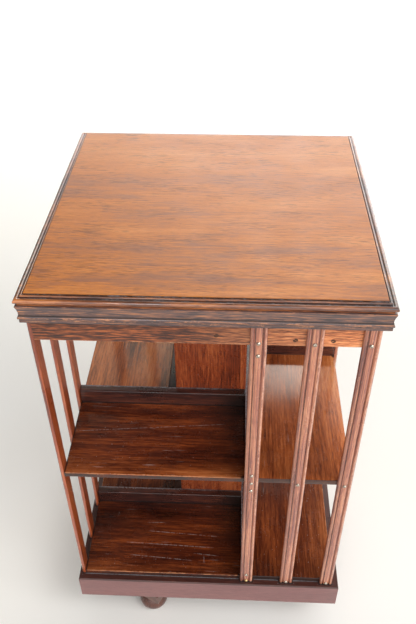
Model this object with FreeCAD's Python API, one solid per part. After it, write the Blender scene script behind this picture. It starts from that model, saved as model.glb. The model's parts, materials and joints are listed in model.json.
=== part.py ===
import FreeCAD, Part
import math
import os

# Two-tier revolving bookcase in solid mahogany.
#
# A cross of two halved arms stands on four bun feet and carries a fixed turned post.
# The open case hangs on an iron pin at the top of that post and turns round it. Inside
# the case a hollow square column hides the post. At each level four boards are laid round
# the column like the sails of a windmill, so that every face of the case has one wide
# opening for books and, beside it, three reeded slats that close the end of the row of
# books behind them.
#
# Millimetres, +Z up. The origin lies on the floor, on the turning axis. The front is -Y.

os.makedirs("parts", exist_ok=True)

# ---------------------------------------------------------------------- driving sizes
# Bun feet
foot_height = 42.0
foot_radius = 27.0
foot_widest_level = 19.0
foot_pad_radius = 11.0
foot_neck_radius = 17.0
foot_collar_radius = 19.0
foot_collar_height = 5.0
foot_dowel_radius = 8.0
foot_dowel_length = 18.0
foot_circle_radius = 232.0
foot_sides = 24
foot_arc_steps = 3

# Halved cross
arm_width = 52.0
arm_thickness = 28.0
arm_chamfer = 4.0
arm_end_length = 22.0
base_turn = -28.0

# Fixed post
post_foot_radius = 34.0
post_foot_height = 12.0
post_radius = 24.0
post_tenon_width = 26.0

# Iron pivot
pin_radius = 7.0
pin_buried_length = 55.0
pin_shoulder_gap = 4.5
pin_tip_chamfer = 2.0
cup_depth = 20.0
cup_wall = 6.0
cup_end_thickness = 4.0
cup_plate_width = 66.0
cup_plate_thickness = 4.0
cup_plate_corner_cut = 8.0

# Heights of the case, from the bottom up
turning_gap = 5.0
plinth_height = 57.0
board_thickness = 10.0
lower_book_height = 280.0
upper_book_height = 283.0
frieze_height = 38.0
moulding_height = 28.0
top_thickness = 13.5

# Plan of the case
case_width = 454.0
column_width = 120.0
column_board_thickness = 10.0
ledge_width = 12.0
top_overhang = 13.0
rail_thickness = 16.0
plinth_thickness = 18.0
ceiling_thickness = 22.0
plinth_edge_radius = 2.0

# Slats
slat_width = 22.5
slat_thickness = 6.0
slat_lap = 1.0
reed_width = 5.4
groove_width = 1.6
crown_height = 0.7
crown_flat_width = 4.6

# Book stops
stop_thickness = 14.0
stop_height = 28.0
stop_chamfer = 2.0

# Moulded edge of the top board, from the flat panel outwards
panel_setback = 11.7
panel_quirk_depth = 2.6
panel_quirk_width = 0.8
edge_reed_radius = 1.5
lip_radius = 3.5
lip_drop = 3.0
lip_start_angle = 145.0
undercut_setback = 4.0

# Mitred moulding under the top board
moulding_foot_projection = 10.0
moulding_foot_height = 5.2
bead_radius = 3.2
bead_projection = 11.6
bead_end_angle = 70.0
cove_hollow = 0.8
moulding_head_projection = 11.9
moulding_head_height = 1.6

# Round-headed screws through the slats
screw_radius = 1.7
screw_head_radius = 3.1
screw_head_height = 2.3
screw_bite = 14.0
screw_tip_length = 3.0
screw_shoulder_share = 0.75
rail_screw_level = 8.0

# Countersunk screws through the frieze, as places along the rail and above its lower edge
frieze_screw_places = [(15.0, 15.0), (118.0, 10.0), (167.0, 10.0)]
frieze_screw_length = 26.0
countersink_radius = 3.6
countersink_depth = 2.2

# Bearings and their screws
pivot_block_height = 36.0
bearing_board_width = 200.0
bearing_board_thickness = 18.0
bearing_screw_radius = 2.0
bearing_screw_head_radius = 3.8
bearing_screw_head_height = 2.6
bearing_screw_length = 26.0
bearing_screw_inset = 18.0
cup_screw_inset = 9.0

# Blocks glued into the inside corners
glue_block_leg = 18.0
glue_block_length = 60.0
glue_block_spacing = 220.0
corner_block_leg = 46.0
corner_block_height = 38.0

# Clearances
running_clearance = 0.05
socket_clearance = 0.05
pin_end_play = 0.1

# ---------------------------------------------------------------------- derived sizes
arm_bottom = foot_height
arm_top = arm_bottom + arm_thickness
plinth_bottom = arm_top + turning_gap
plinth_top = plinth_bottom + plinth_height
bottom_board_top = plinth_top + board_thickness
shelf_bottom = bottom_board_top + lower_book_height
shelf_top = shelf_bottom + board_thickness
ceiling_bottom = shelf_top + upper_book_height
ceiling_top = ceiling_bottom + ceiling_thickness
moulding_bottom = ceiling_bottom + frieze_height
moulding_top = moulding_bottom + moulding_height
top_face = moulding_top + top_thickness

case_half = case_width / 2
column_half = column_width / 2
column_inner_half = column_half - column_board_thickness
plinth_half = case_half + ledge_width
plinth_inner_half = plinth_half - plinth_thickness
top_half = case_half + top_overhang
rail_inner_half = case_half - rail_thickness
slat_face = case_half + slat_thickness

sides = ["front", "right", "back", "left"]
screw_sides = 6
quarter_turn = 90.0
beyond = 2 * case_width
same_point = 1e-6
origin = FreeCAD.Vector(0, 0, 0)
along_x = FreeCAD.Vector(1, 0, 0)
upwards = FreeCAD.Vector(0, 0, 1)


# ---------------------------------------------------------------------- shared helpers
def point(out, up):
    """Point of a section on the front side: out from the turning axis, up from the floor."""
    return FreeCAD.Vector(0, -out, up)


def arc(centre_out, centre_up, radius, start, end):
    """Arc of a section, as start, middle and end. Angles in degrees: 0 outwards, 90 upwards."""
    angles = [math.radians(angle) for angle in (start, (start + end) / 2, end)]
    return [point(centre_out + radius * math.cos(a), centre_up + radius * math.sin(a)) for a in angles]


def section(items):
    """Face whose outline visits points and arcs in turn, with straight edges between them."""
    starts = [item[0] if isinstance(item, list) else item for item in items]
    ends = [item[-1] if isinstance(item, list) else item for item in items]
    edges = []
    for index, item in enumerate(items):
        if isinstance(item, list):
            edges.append(Part.Arc(*item).toShape())
        following = starts[(index + 1) % len(items)]
        if (following - ends[index]).Length > same_point:
            edges.append(Part.makeLine(ends[index], following))
    return Part.Face(Part.Wire(edges))


def turned(items):
    """Section turned once round the vertical axis."""
    return section(items).revolve(origin, upwards, 4 * quarter_turn)


def ring(radius, level, count):
    """Corners of a regular polygon round the vertical axis."""
    angles = [2 * math.pi * index / count for index in range(count)]
    return [FreeCAD.Vector(radius * math.cos(a), radius * math.sin(a), level) for a in angles]


def many_sided(profile, count):
    """Small turned piece made of flat faces. The profile is radii and levels from bottom to top."""
    rings = [ring(radius, level, count) for radius, level in profile]
    faces = []
    for below, above in zip(rings, rings[1:]):
        for index in range(count):
            corners = [below[index - 1], below[index], above[index], above[index - 1]]
            following = corners[1:] + corners[:1]
            apart = [a for a, b in zip(corners, following) if (b - a).Length > same_point]
            faces.append(Part.Face(Part.makePolygon(apart + apart[:1])))
    return Part.Solid(Part.Shell(faces))


def run(items, start, end):
    """Section run along the front side from one place to another."""
    face = section(items)
    face.translate(along_x * start)
    return face.extrude(along_x * (end - start))


def mitred(items):
    """Section run along the front side and mitred to meet its neighbours at both corners."""
    corners = [(0, 0), (-beyond, -beyond), (beyond, -beyond), (0, 0)]
    triangle = Part.Face(Part.makePolygon([FreeCAD.Vector(x, y, 0) for x, y in corners]))
    return run(items, -beyond, beyond).common(triangle.extrude(upwards * beyond))


def bar(inner, outer, low, high):
    """Plain rectangular section."""
    return [point(inner, low), point(outer, low), point(outer, high), point(inner, high)]


def square_block(half, low, high):
    """Square block centred on the turning axis."""
    return Part.makeBox(2 * half, 2 * half, high - low, FreeCAD.Vector(-half, -half, low))


def rod(radius, low, high):
    """Round rod on the turning axis."""
    return Part.makeCylinder(radius, high - low, FreeCAD.Vector(0, 0, low))


def moved(shape, x, y, z):
    """Copy of a shape, shifted."""
    copy = shape.copy()
    copy.translate(FreeCAD.Vector(x, y, z))
    return copy


def quarter(shape, side):
    """Copy of a front-side shape, carried round to another side."""
    copy = shape.copy()
    copy.rotate(origin, upwards, quarter_turn * side)
    return copy


def all_round(shape):
    """The same shape on each of the four sides."""
    return [quarter(shape, side) for side in range(len(sides))]


def drilled(shape, drills):
    """Shape with a hole for each screw that reaches into it."""
    meeting = [drill for drill in drills if drill.BoundBox.intersect(shape.BoundBox)]
    if not meeting:
        return shape
    return shape.cut(meeting)


def save(name, shape):
    """Write one named piece."""
    shape.exportStep("parts/" + name + ".step")


def save_sides(name, shape, drills):
    """Write a front-side piece and its three neighbours, each drilled for its own screws."""
    for side, side_name in enumerate(sides):
        save(name + "_" + side_name, drilled(quarter(shape, side), drills))


# ---------------------------------------------------------------------- screws
def round_screw(radius, length, head_radius, head_height):
    """Round-headed wood screw, seated at height zero and pointing down."""
    shoulder_radius = head_radius * screw_shoulder_share
    shoulder_height = head_height * math.sqrt(1 - screw_shoulder_share ** 2)
    return many_sided([
        (0, -length),
        (radius, screw_tip_length - length),
        (radius, 0),
        (head_radius, 0),
        (shoulder_radius, shoulder_height),
        (0, head_height),
    ], screw_sides)


def countersunk_screw(clearance):
    """Countersunk wood screw, flush with height zero. With a clearance it is its own hole."""
    return many_sided([
        (0, -frieze_screw_length - clearance),
        (screw_radius + clearance, screw_tip_length - frieze_screw_length),
        (screw_radius + clearance, -countersink_depth),
        (countersink_radius + clearance, 0),
        (0, 0),
    ], screw_sides)


def straight_hole(radius, low, high, count):
    """Many-sided hole for a straight shank or dowel."""
    clear_radius = radius + socket_clearance
    return many_sided([(0, low), (clear_radius, low), (clear_radius, high), (0, high)], count)


def driven(shape, x, out, level):
    """Upright screw or drill laid flat and driven into the front side at one place."""
    copy = shape.copy()
    copy.rotate(origin, along_x, quarter_turn)
    copy.translate(FreeCAD.Vector(x, -out, level))
    return copy


first_slat_place = column_half - slat_lap + slat_width / 2
corner_slat_place = case_half - slat_width / 2
slat_places = [first_slat_place, (first_slat_place + corner_slat_place) / 2, corner_slat_place]

# Each slat is screwed to the edge of both boards and to the frieze. The slat nearest the
# opening also covers the ends of the four book stops behind it and is screwed to them.
board_levels = [
    plinth_top + board_thickness / 2,
    shelf_bottom + board_thickness / 2,
    ceiling_bottom + rail_screw_level,
]
stop_levels = [
    bottom_board_top + stop_height / 2,
    shelf_bottom - stop_height / 2,
    shelf_top + stop_height / 2,
    ceiling_bottom - stop_height / 2,
]
screw_spots = [(place, level) for place in slat_places for level in board_levels]
screw_spots += [(first_slat_place, level) for level in stop_levels]

slat_screw_length = slat_thickness + screw_bite
slat_screw = round_screw(screw_radius, slat_screw_length, screw_head_radius, screw_head_height)
slat_drill = straight_hole(screw_radius, -slat_screw_length, 0, screw_sides)
slat_screws = []
slat_drills = []
for place, level in screw_spots:
    slat_screws += all_round(driven(slat_screw, place, slat_face, level))
    slat_drills += all_round(driven(slat_drill, place, slat_face, level))

# The lowest screw of the front slat beside the opening is a later brass one.
brass_screw = slat_screws.pop(0)

frieze_screws = []
frieze_drills = []
for place, height_on_rail in frieze_screw_places:
    level = ceiling_bottom + height_on_rail
    frieze_screws += all_round(driven(countersunk_screw(0), place, case_half, level))
    frieze_drills += all_round(driven(countersunk_screw(socket_clearance), place, case_half, level))

# The cup plate and the bearing board are each held by four screws driven up from below.
cup_plate_top = ceiling_bottom - pivot_block_height
cup_plate_bottom = cup_plate_top - cup_plate_thickness
bearing_board_bottom = plinth_top - bearing_board_thickness
cup_screw_reach = cup_plate_width / 2 - cup_screw_inset
bearing_screw_reach = bearing_board_width / 2 - bearing_screw_inset

upward_screw = round_screw(
    bearing_screw_radius, bearing_screw_length, bearing_screw_head_radius, bearing_screw_head_height)
upward_drill = straight_hole(bearing_screw_radius, -bearing_screw_length, 0, screw_sides)
for piece in (upward_screw, upward_drill):
    piece.rotate(origin, along_x, 2 * quarter_turn)
bearing_screws = []
bearing_drills = []
for reach, seat in ((cup_screw_reach, cup_plate_bottom), (bearing_screw_reach, bearing_board_bottom)):
    bearing_screws += all_round(moved(upward_screw, reach, reach, seat))
    bearing_drills += all_round(moved(upward_drill, reach, reach, seat))

save("slat_screws", Part.makeCompound(slat_screws))
save("brass_slat_screw", brass_screw)
save("frieze_screws", Part.makeCompound(frieze_screws))
save("bearing_screws", Part.makeCompound(bearing_screws))


# ---------------------------------------------------------------------- base
def bulge(end, end_level):
    """Rings of the arc from the foot's widest line to another radius."""
    rise = end_level - foot_widest_level
    centre = (foot_radius ** 2 - end ** 2 - rise ** 2) / (2 * (foot_radius - end))
    radius = foot_radius - centre
    end_angle = math.atan2(rise, end - centre)
    angles = [end_angle * step / foot_arc_steps for step in range(foot_arc_steps + 1)]
    return [(centre + radius * math.cos(a), foot_widest_level + radius * math.sin(a)) for a in angles]


def bun_foot():
    """Bun foot with a collar and a dowel, centred on the axis."""
    collar_bottom = foot_height - foot_collar_height
    lower = bulge(foot_pad_radius, 0)
    upper = bulge(foot_neck_radius, collar_bottom)
    return many_sided([
        (0, 0),
        *reversed(lower),
        *upper[1:],
        (foot_collar_radius, collar_bottom),
        (foot_collar_radius, foot_height),
        (foot_dowel_radius, foot_height),
        (foot_dowel_radius, foot_height + foot_dowel_length),
        (0, foot_height + foot_dowel_length),
    ], foot_sides)


def arm(notch_low, notch_high):
    """One arm of the cross, with a notch that the other arm fills and a mortise for the post."""
    half_width = arm_width / 2
    half_length = foot_circle_radius + arm_end_length
    corner = FreeCAD.Vector(-half_width, -half_length, arm_bottom)
    body = Part.makeBox(arm_width, 2 * half_length, arm_thickness, corner)
    upper_edges = [edge for edge in body.Edges if edge.BoundBox.ZMin > arm_top - same_point]
    body = body.makeChamfer(arm_chamfer, upper_edges)
    notch_corner = FreeCAD.Vector(-beyond / 2, -half_width, notch_low)
    notch = Part.makeBox(beyond, arm_width, notch_high - notch_low, notch_corner)
    mortise = square_block(post_tenon_width / 2 + socket_clearance, arm_bottom, arm_top)
    socket = straight_hole(foot_dowel_radius, arm_bottom, arm_bottom + foot_dowel_length, foot_sides)
    sockets = [moved(socket, 0, -foot_circle_radius, 0), moved(socket, 0, foot_circle_radius, 0)]
    return body.cut([notch, mortise] + sockets)


def save_base(name, shape, side):
    """Write a piece of the fixed base, carried round to where the base stands at rest."""
    shape.rotate(origin, upwards, base_turn + quarter_turn * side)
    save(name, shape)


halving_level = arm_bottom + arm_thickness / 2
save_base("cross_arm_lower", arm(halving_level, arm_top), 0)
save_base("cross_arm_upper", arm(arm_bottom, halving_level), 1)
for side, side_name in enumerate(sides):
    save_base("bun_foot_" + side_name, moved(bun_foot(), 0, -foot_circle_radius, 0), side)

cup_bore_end = cup_plate_bottom + cup_depth
pin_tip = cup_bore_end - pin_end_play
post_top = cup_plate_bottom - pin_shoulder_gap
pin_bottom = post_top - pin_buried_length
post_foot_top = arm_top + post_foot_height

# The post is turned, but for the square tenon that passes through both arms.
post = turned([
    point(0, arm_top),
    point(post_foot_radius, arm_top),
    point(post_foot_radius, post_foot_top),
    point(post_radius, post_foot_top),
    point(post_radius, post_top),
    point(0, post_top),
])
post = post.fuse(square_block(post_tenon_width / 2, arm_bottom, arm_top)).removeSplitter()
save_base("post", post.cut(rod(pin_radius + socket_clearance, pin_bottom, post_top)), 0)

save("pivot_pin", turned([
    point(0, pin_bottom),
    point(pin_radius, pin_bottom),
    point(pin_radius, pin_tip - pin_tip_chamfer),
    point(pin_radius - pin_tip_chamfer, pin_tip),
    point(0, pin_tip),
]))

# ---------------------------------------------------------------------- bearings in the case
cup_radius = pin_radius + running_clearance + cup_wall
cup_top = cup_bore_end + cup_end_thickness
cup_plate = square_block(cup_plate_width / 2, cup_plate_bottom, cup_plate_top)
plate_corners = [edge for edge in cup_plate.Edges if edge.BoundBox.ZLength > cup_plate_thickness / 2]
cup_plate = cup_plate.makeChamfer(cup_plate_corner_cut, plate_corners)
cup = cup_plate.fuse(rod(cup_radius, cup_plate_bottom, cup_top))
cup = cup.cut(rod(pin_radius + running_clearance, cup_plate_bottom, cup_bore_end))
save("pivot_cup", drilled(cup, bearing_drills))

pivot_block = square_block(column_inner_half, cup_plate_top, ceiling_bottom)
pivot_block = pivot_block.cut(rod(cup_radius + socket_clearance, cup_plate_top, cup_top))
save("pivot_block", drilled(pivot_block, bearing_drills))

bearing_board = square_block(bearing_board_width / 2, bearing_board_bottom, plinth_top)
bearing_board = bearing_board.cut(rod(post_radius + running_clearance, bearing_board_bottom, plinth_top))
save("bearing_board", drilled(bearing_board, bearing_drills))


# ---------------------------------------------------------------------- column and boards
def sail(low):
    """Board of one level, as long as the opening for books and as deep as one row of them."""
    return run(bar(column_half, case_half, low, low + board_thickness), -case_half, column_half)


case_drills = slat_drills + frieze_drills + bearing_drills
column_section = bar(column_inner_half, column_half, plinth_top, ceiling_bottom)
save_sides("column_board", run(column_section, -column_half, column_inner_half), case_drills)
save_sides("bottom_board", sail(plinth_top), case_drills)
save_sides("shelf_board", sail(shelf_bottom), case_drills)
save("ceiling_board", drilled(square_block(rail_inner_half, ceiling_bottom, ceiling_top), case_drills))


# ---------------------------------------------------------------------- book stops
def standing_stop(low):
    """Stop that keeps books off the column, on top of a board, with its free arris chamfered."""
    outer = column_half + stop_thickness
    high = low + stop_height
    return run([
        point(column_half, low),
        point(outer, low),
        point(outer, high - stop_chamfer),
        point(outer - stop_chamfer, high),
        point(column_half, high),
    ], -case_half, column_half)


def hanging_stop(high):
    """The same stop under a board."""
    outer = column_half + stop_thickness
    low = high - stop_height
    return run([
        point(column_half, low),
        point(outer - stop_chamfer, low),
        point(outer, low + stop_chamfer),
        point(outer, high),
        point(column_half, high),
    ], -case_half, column_half)


stops = {
    "bottom_book_stops": standing_stop(bottom_board_top),
    "shelf_book_stops": standing_stop(shelf_top),
    "shelf_hanging_stops": hanging_stop(shelf_bottom),
    "ceiling_hanging_stops": hanging_stop(ceiling_bottom),
}
for name, stop in stops.items():
    save(name, Part.makeCompound([drilled(piece, case_drills) for piece in all_round(stop)]))


# ---------------------------------------------------------------------- slats
def across(x, out):
    """Point of a slat's section: x along the face, out from the turning axis."""
    return FreeCAD.Vector(x, -out, plinth_top)


def reed(start):
    """Half-round reed across the face of a slat, from one place to the next."""
    radius = reed_width / 2
    floor = slat_face - radius
    return [across(start, floor), across(start + radius, slat_face), across(start + reed_width, floor)]


def slat(place):
    """Slat with a half-round reed on each edge, a groove beside it and a middle that falls away
    on both sides of the flat where the screws sit."""
    groove_floor = slat_face - reed_width / 2
    middle_half = slat_width / 2 - reed_width - groove_width
    flat_half = crown_flat_width / 2
    low = place - slat_width / 2
    high = place + slat_width / 2
    face = section([
        across(low, case_half),
        reed(low),
        across(place - middle_half, groove_floor),
        across(place - middle_half, slat_face - crown_height),
        across(place - flat_half, slat_face),
        across(place + flat_half, slat_face),
        across(place + middle_half, slat_face - crown_height),
        across(place + middle_half, groove_floor),
        reed(high - reed_width),
        across(high, case_half),
    ])
    return face.extrude(upwards * (moulding_bottom - plinth_top))


slat_names = ["inner_slat", "middle_slat", "corner_slat"]
for name, place in zip(slat_names, slat_places):
    save_sides(name, slat(place), slat_drills)

# ---------------------------------------------------------------------- plinth and frieze
plinth_section = [
    point(plinth_inner_half, plinth_bottom),
    point(plinth_half, plinth_bottom),
    arc(plinth_half - plinth_edge_radius, plinth_top - plinth_edge_radius, plinth_edge_radius, 0, 90),
    point(plinth_inner_half, plinth_top),
]
save_sides("plinth_rail", mitred(plinth_section), [])
frieze_section = bar(rail_inner_half, case_half, ceiling_bottom, moulding_top)
save_sides("frieze_rail", mitred(frieze_section), case_drills)

corner_block_low = FreeCAD.Vector(-plinth_inner_half, -plinth_inner_half, plinth_top - corner_block_height)
corner_block = Part.Face(Part.makePolygon([
    corner_block_low,
    corner_block_low + along_x * corner_block_leg,
    corner_block_low - point(corner_block_leg, 0),
    corner_block_low,
])).extrude(upwards * corner_block_height)
save("plinth_corner_blocks", Part.makeCompound(all_round(corner_block)))

glue_block_section = [
    point(rail_inner_half, moulding_top),
    point(rail_inner_half, moulding_top - glue_block_leg),
    point(rail_inner_half - glue_block_leg, moulding_top),
]
glue_blocks = []
for middle in (-glue_block_spacing / 2, glue_block_spacing / 2):
    start = middle - glue_block_length / 2
    glue_blocks += all_round(run(glue_block_section, start, start + glue_block_length))
save("top_glue_blocks", Part.makeCompound(glue_blocks))

# ---------------------------------------------------------------------- top
# The moulding rises from a plain foot through a bead and a shallow cove to a square head.
bead_out = case_half + bead_projection - bead_radius
bead_level = moulding_bottom + moulding_foot_height + bead_radius
bead = arc(bead_out, bead_level, bead_radius, -90, bead_end_angle)
head_out = case_half + moulding_head_projection
cove_start = bead[-1]
cove_end = point(head_out, moulding_top - moulding_head_height)
cove_middle = (cove_start + cove_end) * 0.5 + point(-cove_hollow, 0)
foot_out = case_half + moulding_foot_projection
save_sides("top_moulding", mitred([
    point(case_half, moulding_bottom),
    point(foot_out, moulding_bottom),
    point(foot_out, moulding_bottom + moulding_foot_height),
    bead,
    [cove_start, cove_middle, cove_end],
    point(head_out, moulding_top),
    point(case_half, moulding_top),
]), [])

# The edge of the board steps down from the flat panel through a quirk, a small reed and a
# second quirk to a rounded lip, which is undercut above the moulding.
panel_out = top_half - panel_setback
quirk_level = top_face - panel_quirk_depth
reed_out = panel_out + panel_quirk_width + edge_reed_radius
lip_out = top_half - lip_radius
lip_level = top_face - lip_drop - lip_radius
lip = arc(lip_out, lip_level, lip_radius, -90, lip_start_angle)
undercut_out = top_half - undercut_setback
quarters = all_round(mitred([
    point(0, moulding_top),
    point(undercut_out, moulding_top),
    point(undercut_out, lip_level - lip_radius),
    lip,
    point(reed_out + edge_reed_radius, lip[-1].z),
    arc(reed_out, quirk_level, edge_reed_radius, 0, 180),
    point(panel_out, quirk_level),
    point(panel_out, top_face),
    point(0, top_face),
]))
save("top_board", quarters[0].fuse(quarters[1:]).removeSplitter())
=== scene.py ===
# %% [markdown]
# # A revolving bookcase in polished mahogany
#
# The real piece is a square, open bookcase that turns on a hidden post. A polished top sits on a
# moulded frieze, and at each of two levels four boards are laid round a hollow column like the
# sails of a windmill. Reeded slats close the end of every row of books.
#
# The construction is already settled in a imported model, in metres, with its origin on the floor
# under the turning axis. This lesson keeps every size and place from it, and gives each piece of
# wood its softened arrises, its own grain, and its wear, wax and dust, which also carry painted
# shade, painted highlights and painted light.

# %% The frame that everything is hung on
import json
import math
import bmesh
import bpy
import numpy as np
from mathutils import Matrix, Vector


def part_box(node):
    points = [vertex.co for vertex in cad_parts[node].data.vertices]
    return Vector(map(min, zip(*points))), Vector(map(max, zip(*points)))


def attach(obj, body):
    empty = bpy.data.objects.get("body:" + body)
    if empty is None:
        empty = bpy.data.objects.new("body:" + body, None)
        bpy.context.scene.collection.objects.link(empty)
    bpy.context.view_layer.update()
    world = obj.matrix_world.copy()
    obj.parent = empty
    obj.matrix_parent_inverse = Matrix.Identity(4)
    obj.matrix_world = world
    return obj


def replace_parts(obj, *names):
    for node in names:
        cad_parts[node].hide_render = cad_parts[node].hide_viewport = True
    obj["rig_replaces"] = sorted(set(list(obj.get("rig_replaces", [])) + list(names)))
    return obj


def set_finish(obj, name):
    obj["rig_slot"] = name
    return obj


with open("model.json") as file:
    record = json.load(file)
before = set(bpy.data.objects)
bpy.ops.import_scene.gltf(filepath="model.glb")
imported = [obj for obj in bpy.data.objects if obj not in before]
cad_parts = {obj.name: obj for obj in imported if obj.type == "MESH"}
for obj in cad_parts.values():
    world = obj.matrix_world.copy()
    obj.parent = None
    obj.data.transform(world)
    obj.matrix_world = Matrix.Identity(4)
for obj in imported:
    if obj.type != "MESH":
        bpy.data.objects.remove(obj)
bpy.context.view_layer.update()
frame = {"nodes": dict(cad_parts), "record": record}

# %% [markdown]
# ## Sizes
#
# Pieces could be typed in again from a drawing, but then two drawings would have to agree. Here
# the reach of each front-side node is read from the frame, and only what a box can't tell, such as
# the radius of a reed, is a named value. The front is towards -Y, so a place is given as a distance
# along the face, a distance out from the turning axis, and a height.

# %% Sizes read from the frame, and the small ones that a box doesn't show
MM = 0.001
SIDES = ["front", "right", "back", "left"]


def front_reach(node):
    """Reach of a front-side node: along the face, out from the axis, and up."""
    low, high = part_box(node)
    return (low.x, high.x), (-high.y, -low.y), (low.z, high.z)


bottom_reaches = front_reach("bottom_board_front")
(sail_start, sail_end), (column_half, case_half), (bottom_low, bottom_high) = bottom_reaches
shelf_low, shelf_high = front_reach("shelf_board_front")[2]
_, (rail_inner, _), (ceiling_low, rail_top) = front_reach("frieze_rail_front")
_, _, (moulding_low, moulding_high) = front_reach("top_moulding_front")
_, (_, top_half), (_, top_face) = front_reach("top_board")
_, (plinth_inner, plinth_half), (plinth_low, plinth_high) = front_reach("plinth_rail_front")
_, (_, slat_face), _ = front_reach("corner_slat_front")
slat_reaches = {name: front_reach(name + "_slat_front")[0] for name in ("inner", "middle", "corner")}
slat_places = {name: sum(reach) / 2 for name, reach in slat_reaches.items()}
slat_width = slat_reaches["inner"][1] - slat_reaches["inner"][0]

REED_WIDTH = 5.4 * MM
GROOVE_WIDTH = 1.6 * MM
CROWN_HEIGHT = 0.7 * MM
STOP_THICKNESS = 14 * MM
STOP_HEIGHT = 28 * MM
print("case half width", round(case_half, 4), "slats at", {k: round(v, 4) for k, v in slat_places.items()})

# %% [markdown]
# ## Forms
#
# Every piece of joinery is a section carried in a straight line. It could be a box with a Bevel
# modifier, but a modifier knows nothing of where hands rub or dust lies. So each piece is a grid of
# points worked out with numpy, and every point also carries five marks between 0 and 1: how worn,
# how waxy and grimy, how dusty, how faded by daylight and how much painted shade lies there. Wear
# also lays painted highlights, wax and grime also paint the shade in corners and under parts, dust
# also paints a sheen in the quirks of the top, and fading also paints where more light falls. It
# keeps its place in the plank as well, so the grain runs through the wood and shows as end grain on
# the ends.

# %% A closed surface with its marks
# Wear also carries painted highlights, grime painted shade, dust a painted sheen, fade painted light, and
# shade is painted shade.
MARKS = ("wear", "grime", "dust", "fade", "shade")


def spun(angle):
    """Matrix of a turn about the vertical axis."""
    c, s = math.cos(angle), math.sin(angle)
    return np.array([[c, -s, 0], [s, c, 0], [0, 0, 1]])


class Form:
    """A closed surface before it becomes a mesh.

    Faces are arrays of corner numbers, one row a face, one array for each number of corners.
    Grain is each point's place in its plank: along, across and through it."""

    def __init__(self, points, faces, grain, **marks):
        self.points = points
        self.faces = faces
        self.grain = grain
        self.marks = {name: np.zeros(len(points)) + marks.get(name, 0.0) for name in MARKS}

    def places(self):
        """Where each point of a front-side form lies: along the face, out from the axis, and up."""
        return self.points[:, 0], -self.points[:, 1], self.points[:, 2]

    def marked(self, **marks):
        """The same form with new values for some of its marks."""
        self.marks.update(marks)
        return self

    def moved(self, turn=None, shift=(0, 0, 0)):
        """Copy whose points are turned by a 3 x 3 matrix, then shifted."""
        points = self.points if turn is None else self.points @ np.transpose(turn)
        return Form(points + np.array(shift), self.faces, self.grain, **self.marks)

    def on_side(self, side):
        """Copy of a front-side form, carried round the axis by quarter turns."""
        return self.moved(spun(math.radians(90 * side)))

    def from_plank(self, rng, fade=0.0):
        """Copy cut from a plank of its own, so that no two pieces share a figure or quite a tone."""
        marks = {**self.marks, "fade": self.marks["fade"] + fade}
        return Form(self.points, self.faces, self.grain + rng.uniform(-9, 9, 3), **marks)

    def volume(self):
        """Sum over a fan of triangles of p0 . (p1 x p2) / 6, positive where faces point outwards."""
        total = 0.0
        for rows in self.faces:
            corners = self.points[rows]
            fans = np.cross(corners[:, 1:-1], corners[:, 2:])
            total += np.einsum("ik,ijk->", corners[:, 0], fans) / 6
        return total

    def outward(self):
        """The same form with its faces turned to point outwards."""
        if self.volume() < 0:
            self.faces = [rows[:, ::-1] for rows in self.faces]
        return self


def joined(forms):
    """Several forms in one, each still closed."""
    starts = np.cumsum([0] + [len(form.points) for form in forms])
    faces = [rows + start for form, start in zip(forms, starts) for rows in form.faces]
    marks = {name: np.concatenate([form.marks[name] for form in forms]) for name in MARKS}
    points = np.concatenate([form.points for form in forms])
    return Form(points, faces, np.concatenate([form.grain for form in forms]), **marks)


def grid_faces(rows, columns):
    """Quads of a grid numbered row by row, whose last column meets its first."""
    index = np.arange(rows * columns).reshape(rows, columns)
    index = np.hstack([index, index[:, :1]])
    return np.stack([index[:-1, :-1], index[1:, :-1], index[1:, 1:], index[:-1, 1:]], -1).reshape(-1, 4)


def tube(rings, grain, **marks):
    """Closed surface through rings of points, with a flat cap on the first ring and the last."""
    rows, columns = rings.shape[:2]
    caps = [np.arange(columns)[None], np.arange((rows - 1) * columns, rows * columns)[None, ::-1]]
    faces = [grid_faces(rows, columns)] + caps
    flat_marks = {name: np.asarray(mark).reshape(-1) for name, mark in marks.items()}
    return Form(rings.reshape(-1, 3), faces, grain.reshape(-1, 3), **flat_marks).outward()


print("marks carried by every point:", ", ".join(MARKS))

# %% [markdown]
# ## Sections
#
# A plane never leaves a perfectly sharp arris, and polish and handling soften it more. A rounded
# corner catches a thin line of light, which is most of what makes furniture look solid. A section
# is drawn anticlockwise as corners, each with a radius, and arcs. Points are added on both sides of
# each corner so that wear fades within a few millimetres instead of spreading over a whole face.

# %% Outlines with rounded corners
FADE = 2.5 * MM
ARC_STEP = 22.0
OUT, UP, NORMAL_OUT, NORMAL_UP, WORN = range(5)


def bow(centre, radius, start, end, worn=1.0):
    """Arc of an outline: centre + radius * (cos a, sin a), with angles in degrees.

    A rising angle is a convex arc, a falling one a hollow, whose outward normal is reversed."""
    steps = max(3, round(abs(end - start) / ARC_STEP))
    angles = np.radians(np.linspace(start, end, steps + 1))
    ray = np.stack([np.cos(angles), np.sin(angles)], -1)
    facing = ray if end > start else -ray
    return np.column_stack([np.array(centre) + radius * ray, facing, np.full(len(ray), worn)])


def rounded(before, corner, after, radius):
    """Corner replaced by an arc that touches both of its edges.

    For a turn of t between the edges the arc starts r * tan(t / 2) before the corner."""
    coming = np.array(corner) - before
    going = np.array(after) - corner
    heading = math.atan2(coming[1], coming[0])
    turn = (math.atan2(going[1], going[0]) - heading + math.pi) % (2 * math.pi) - math.pi
    bend = math.copysign(1.0, turn)
    direction = np.array([math.cos(heading), math.sin(heading)])
    outwards = np.array([direction[1], -direction[0]])
    touch = np.array(corner) - radius * math.tan(abs(turn) / 2) * direction
    centre = touch - bend * radius * outwards
    first = math.degrees(heading) - 90 * bend
    return bow(centre, radius, first, first + math.degrees(turn), worn=float(turn > 0))


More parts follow.
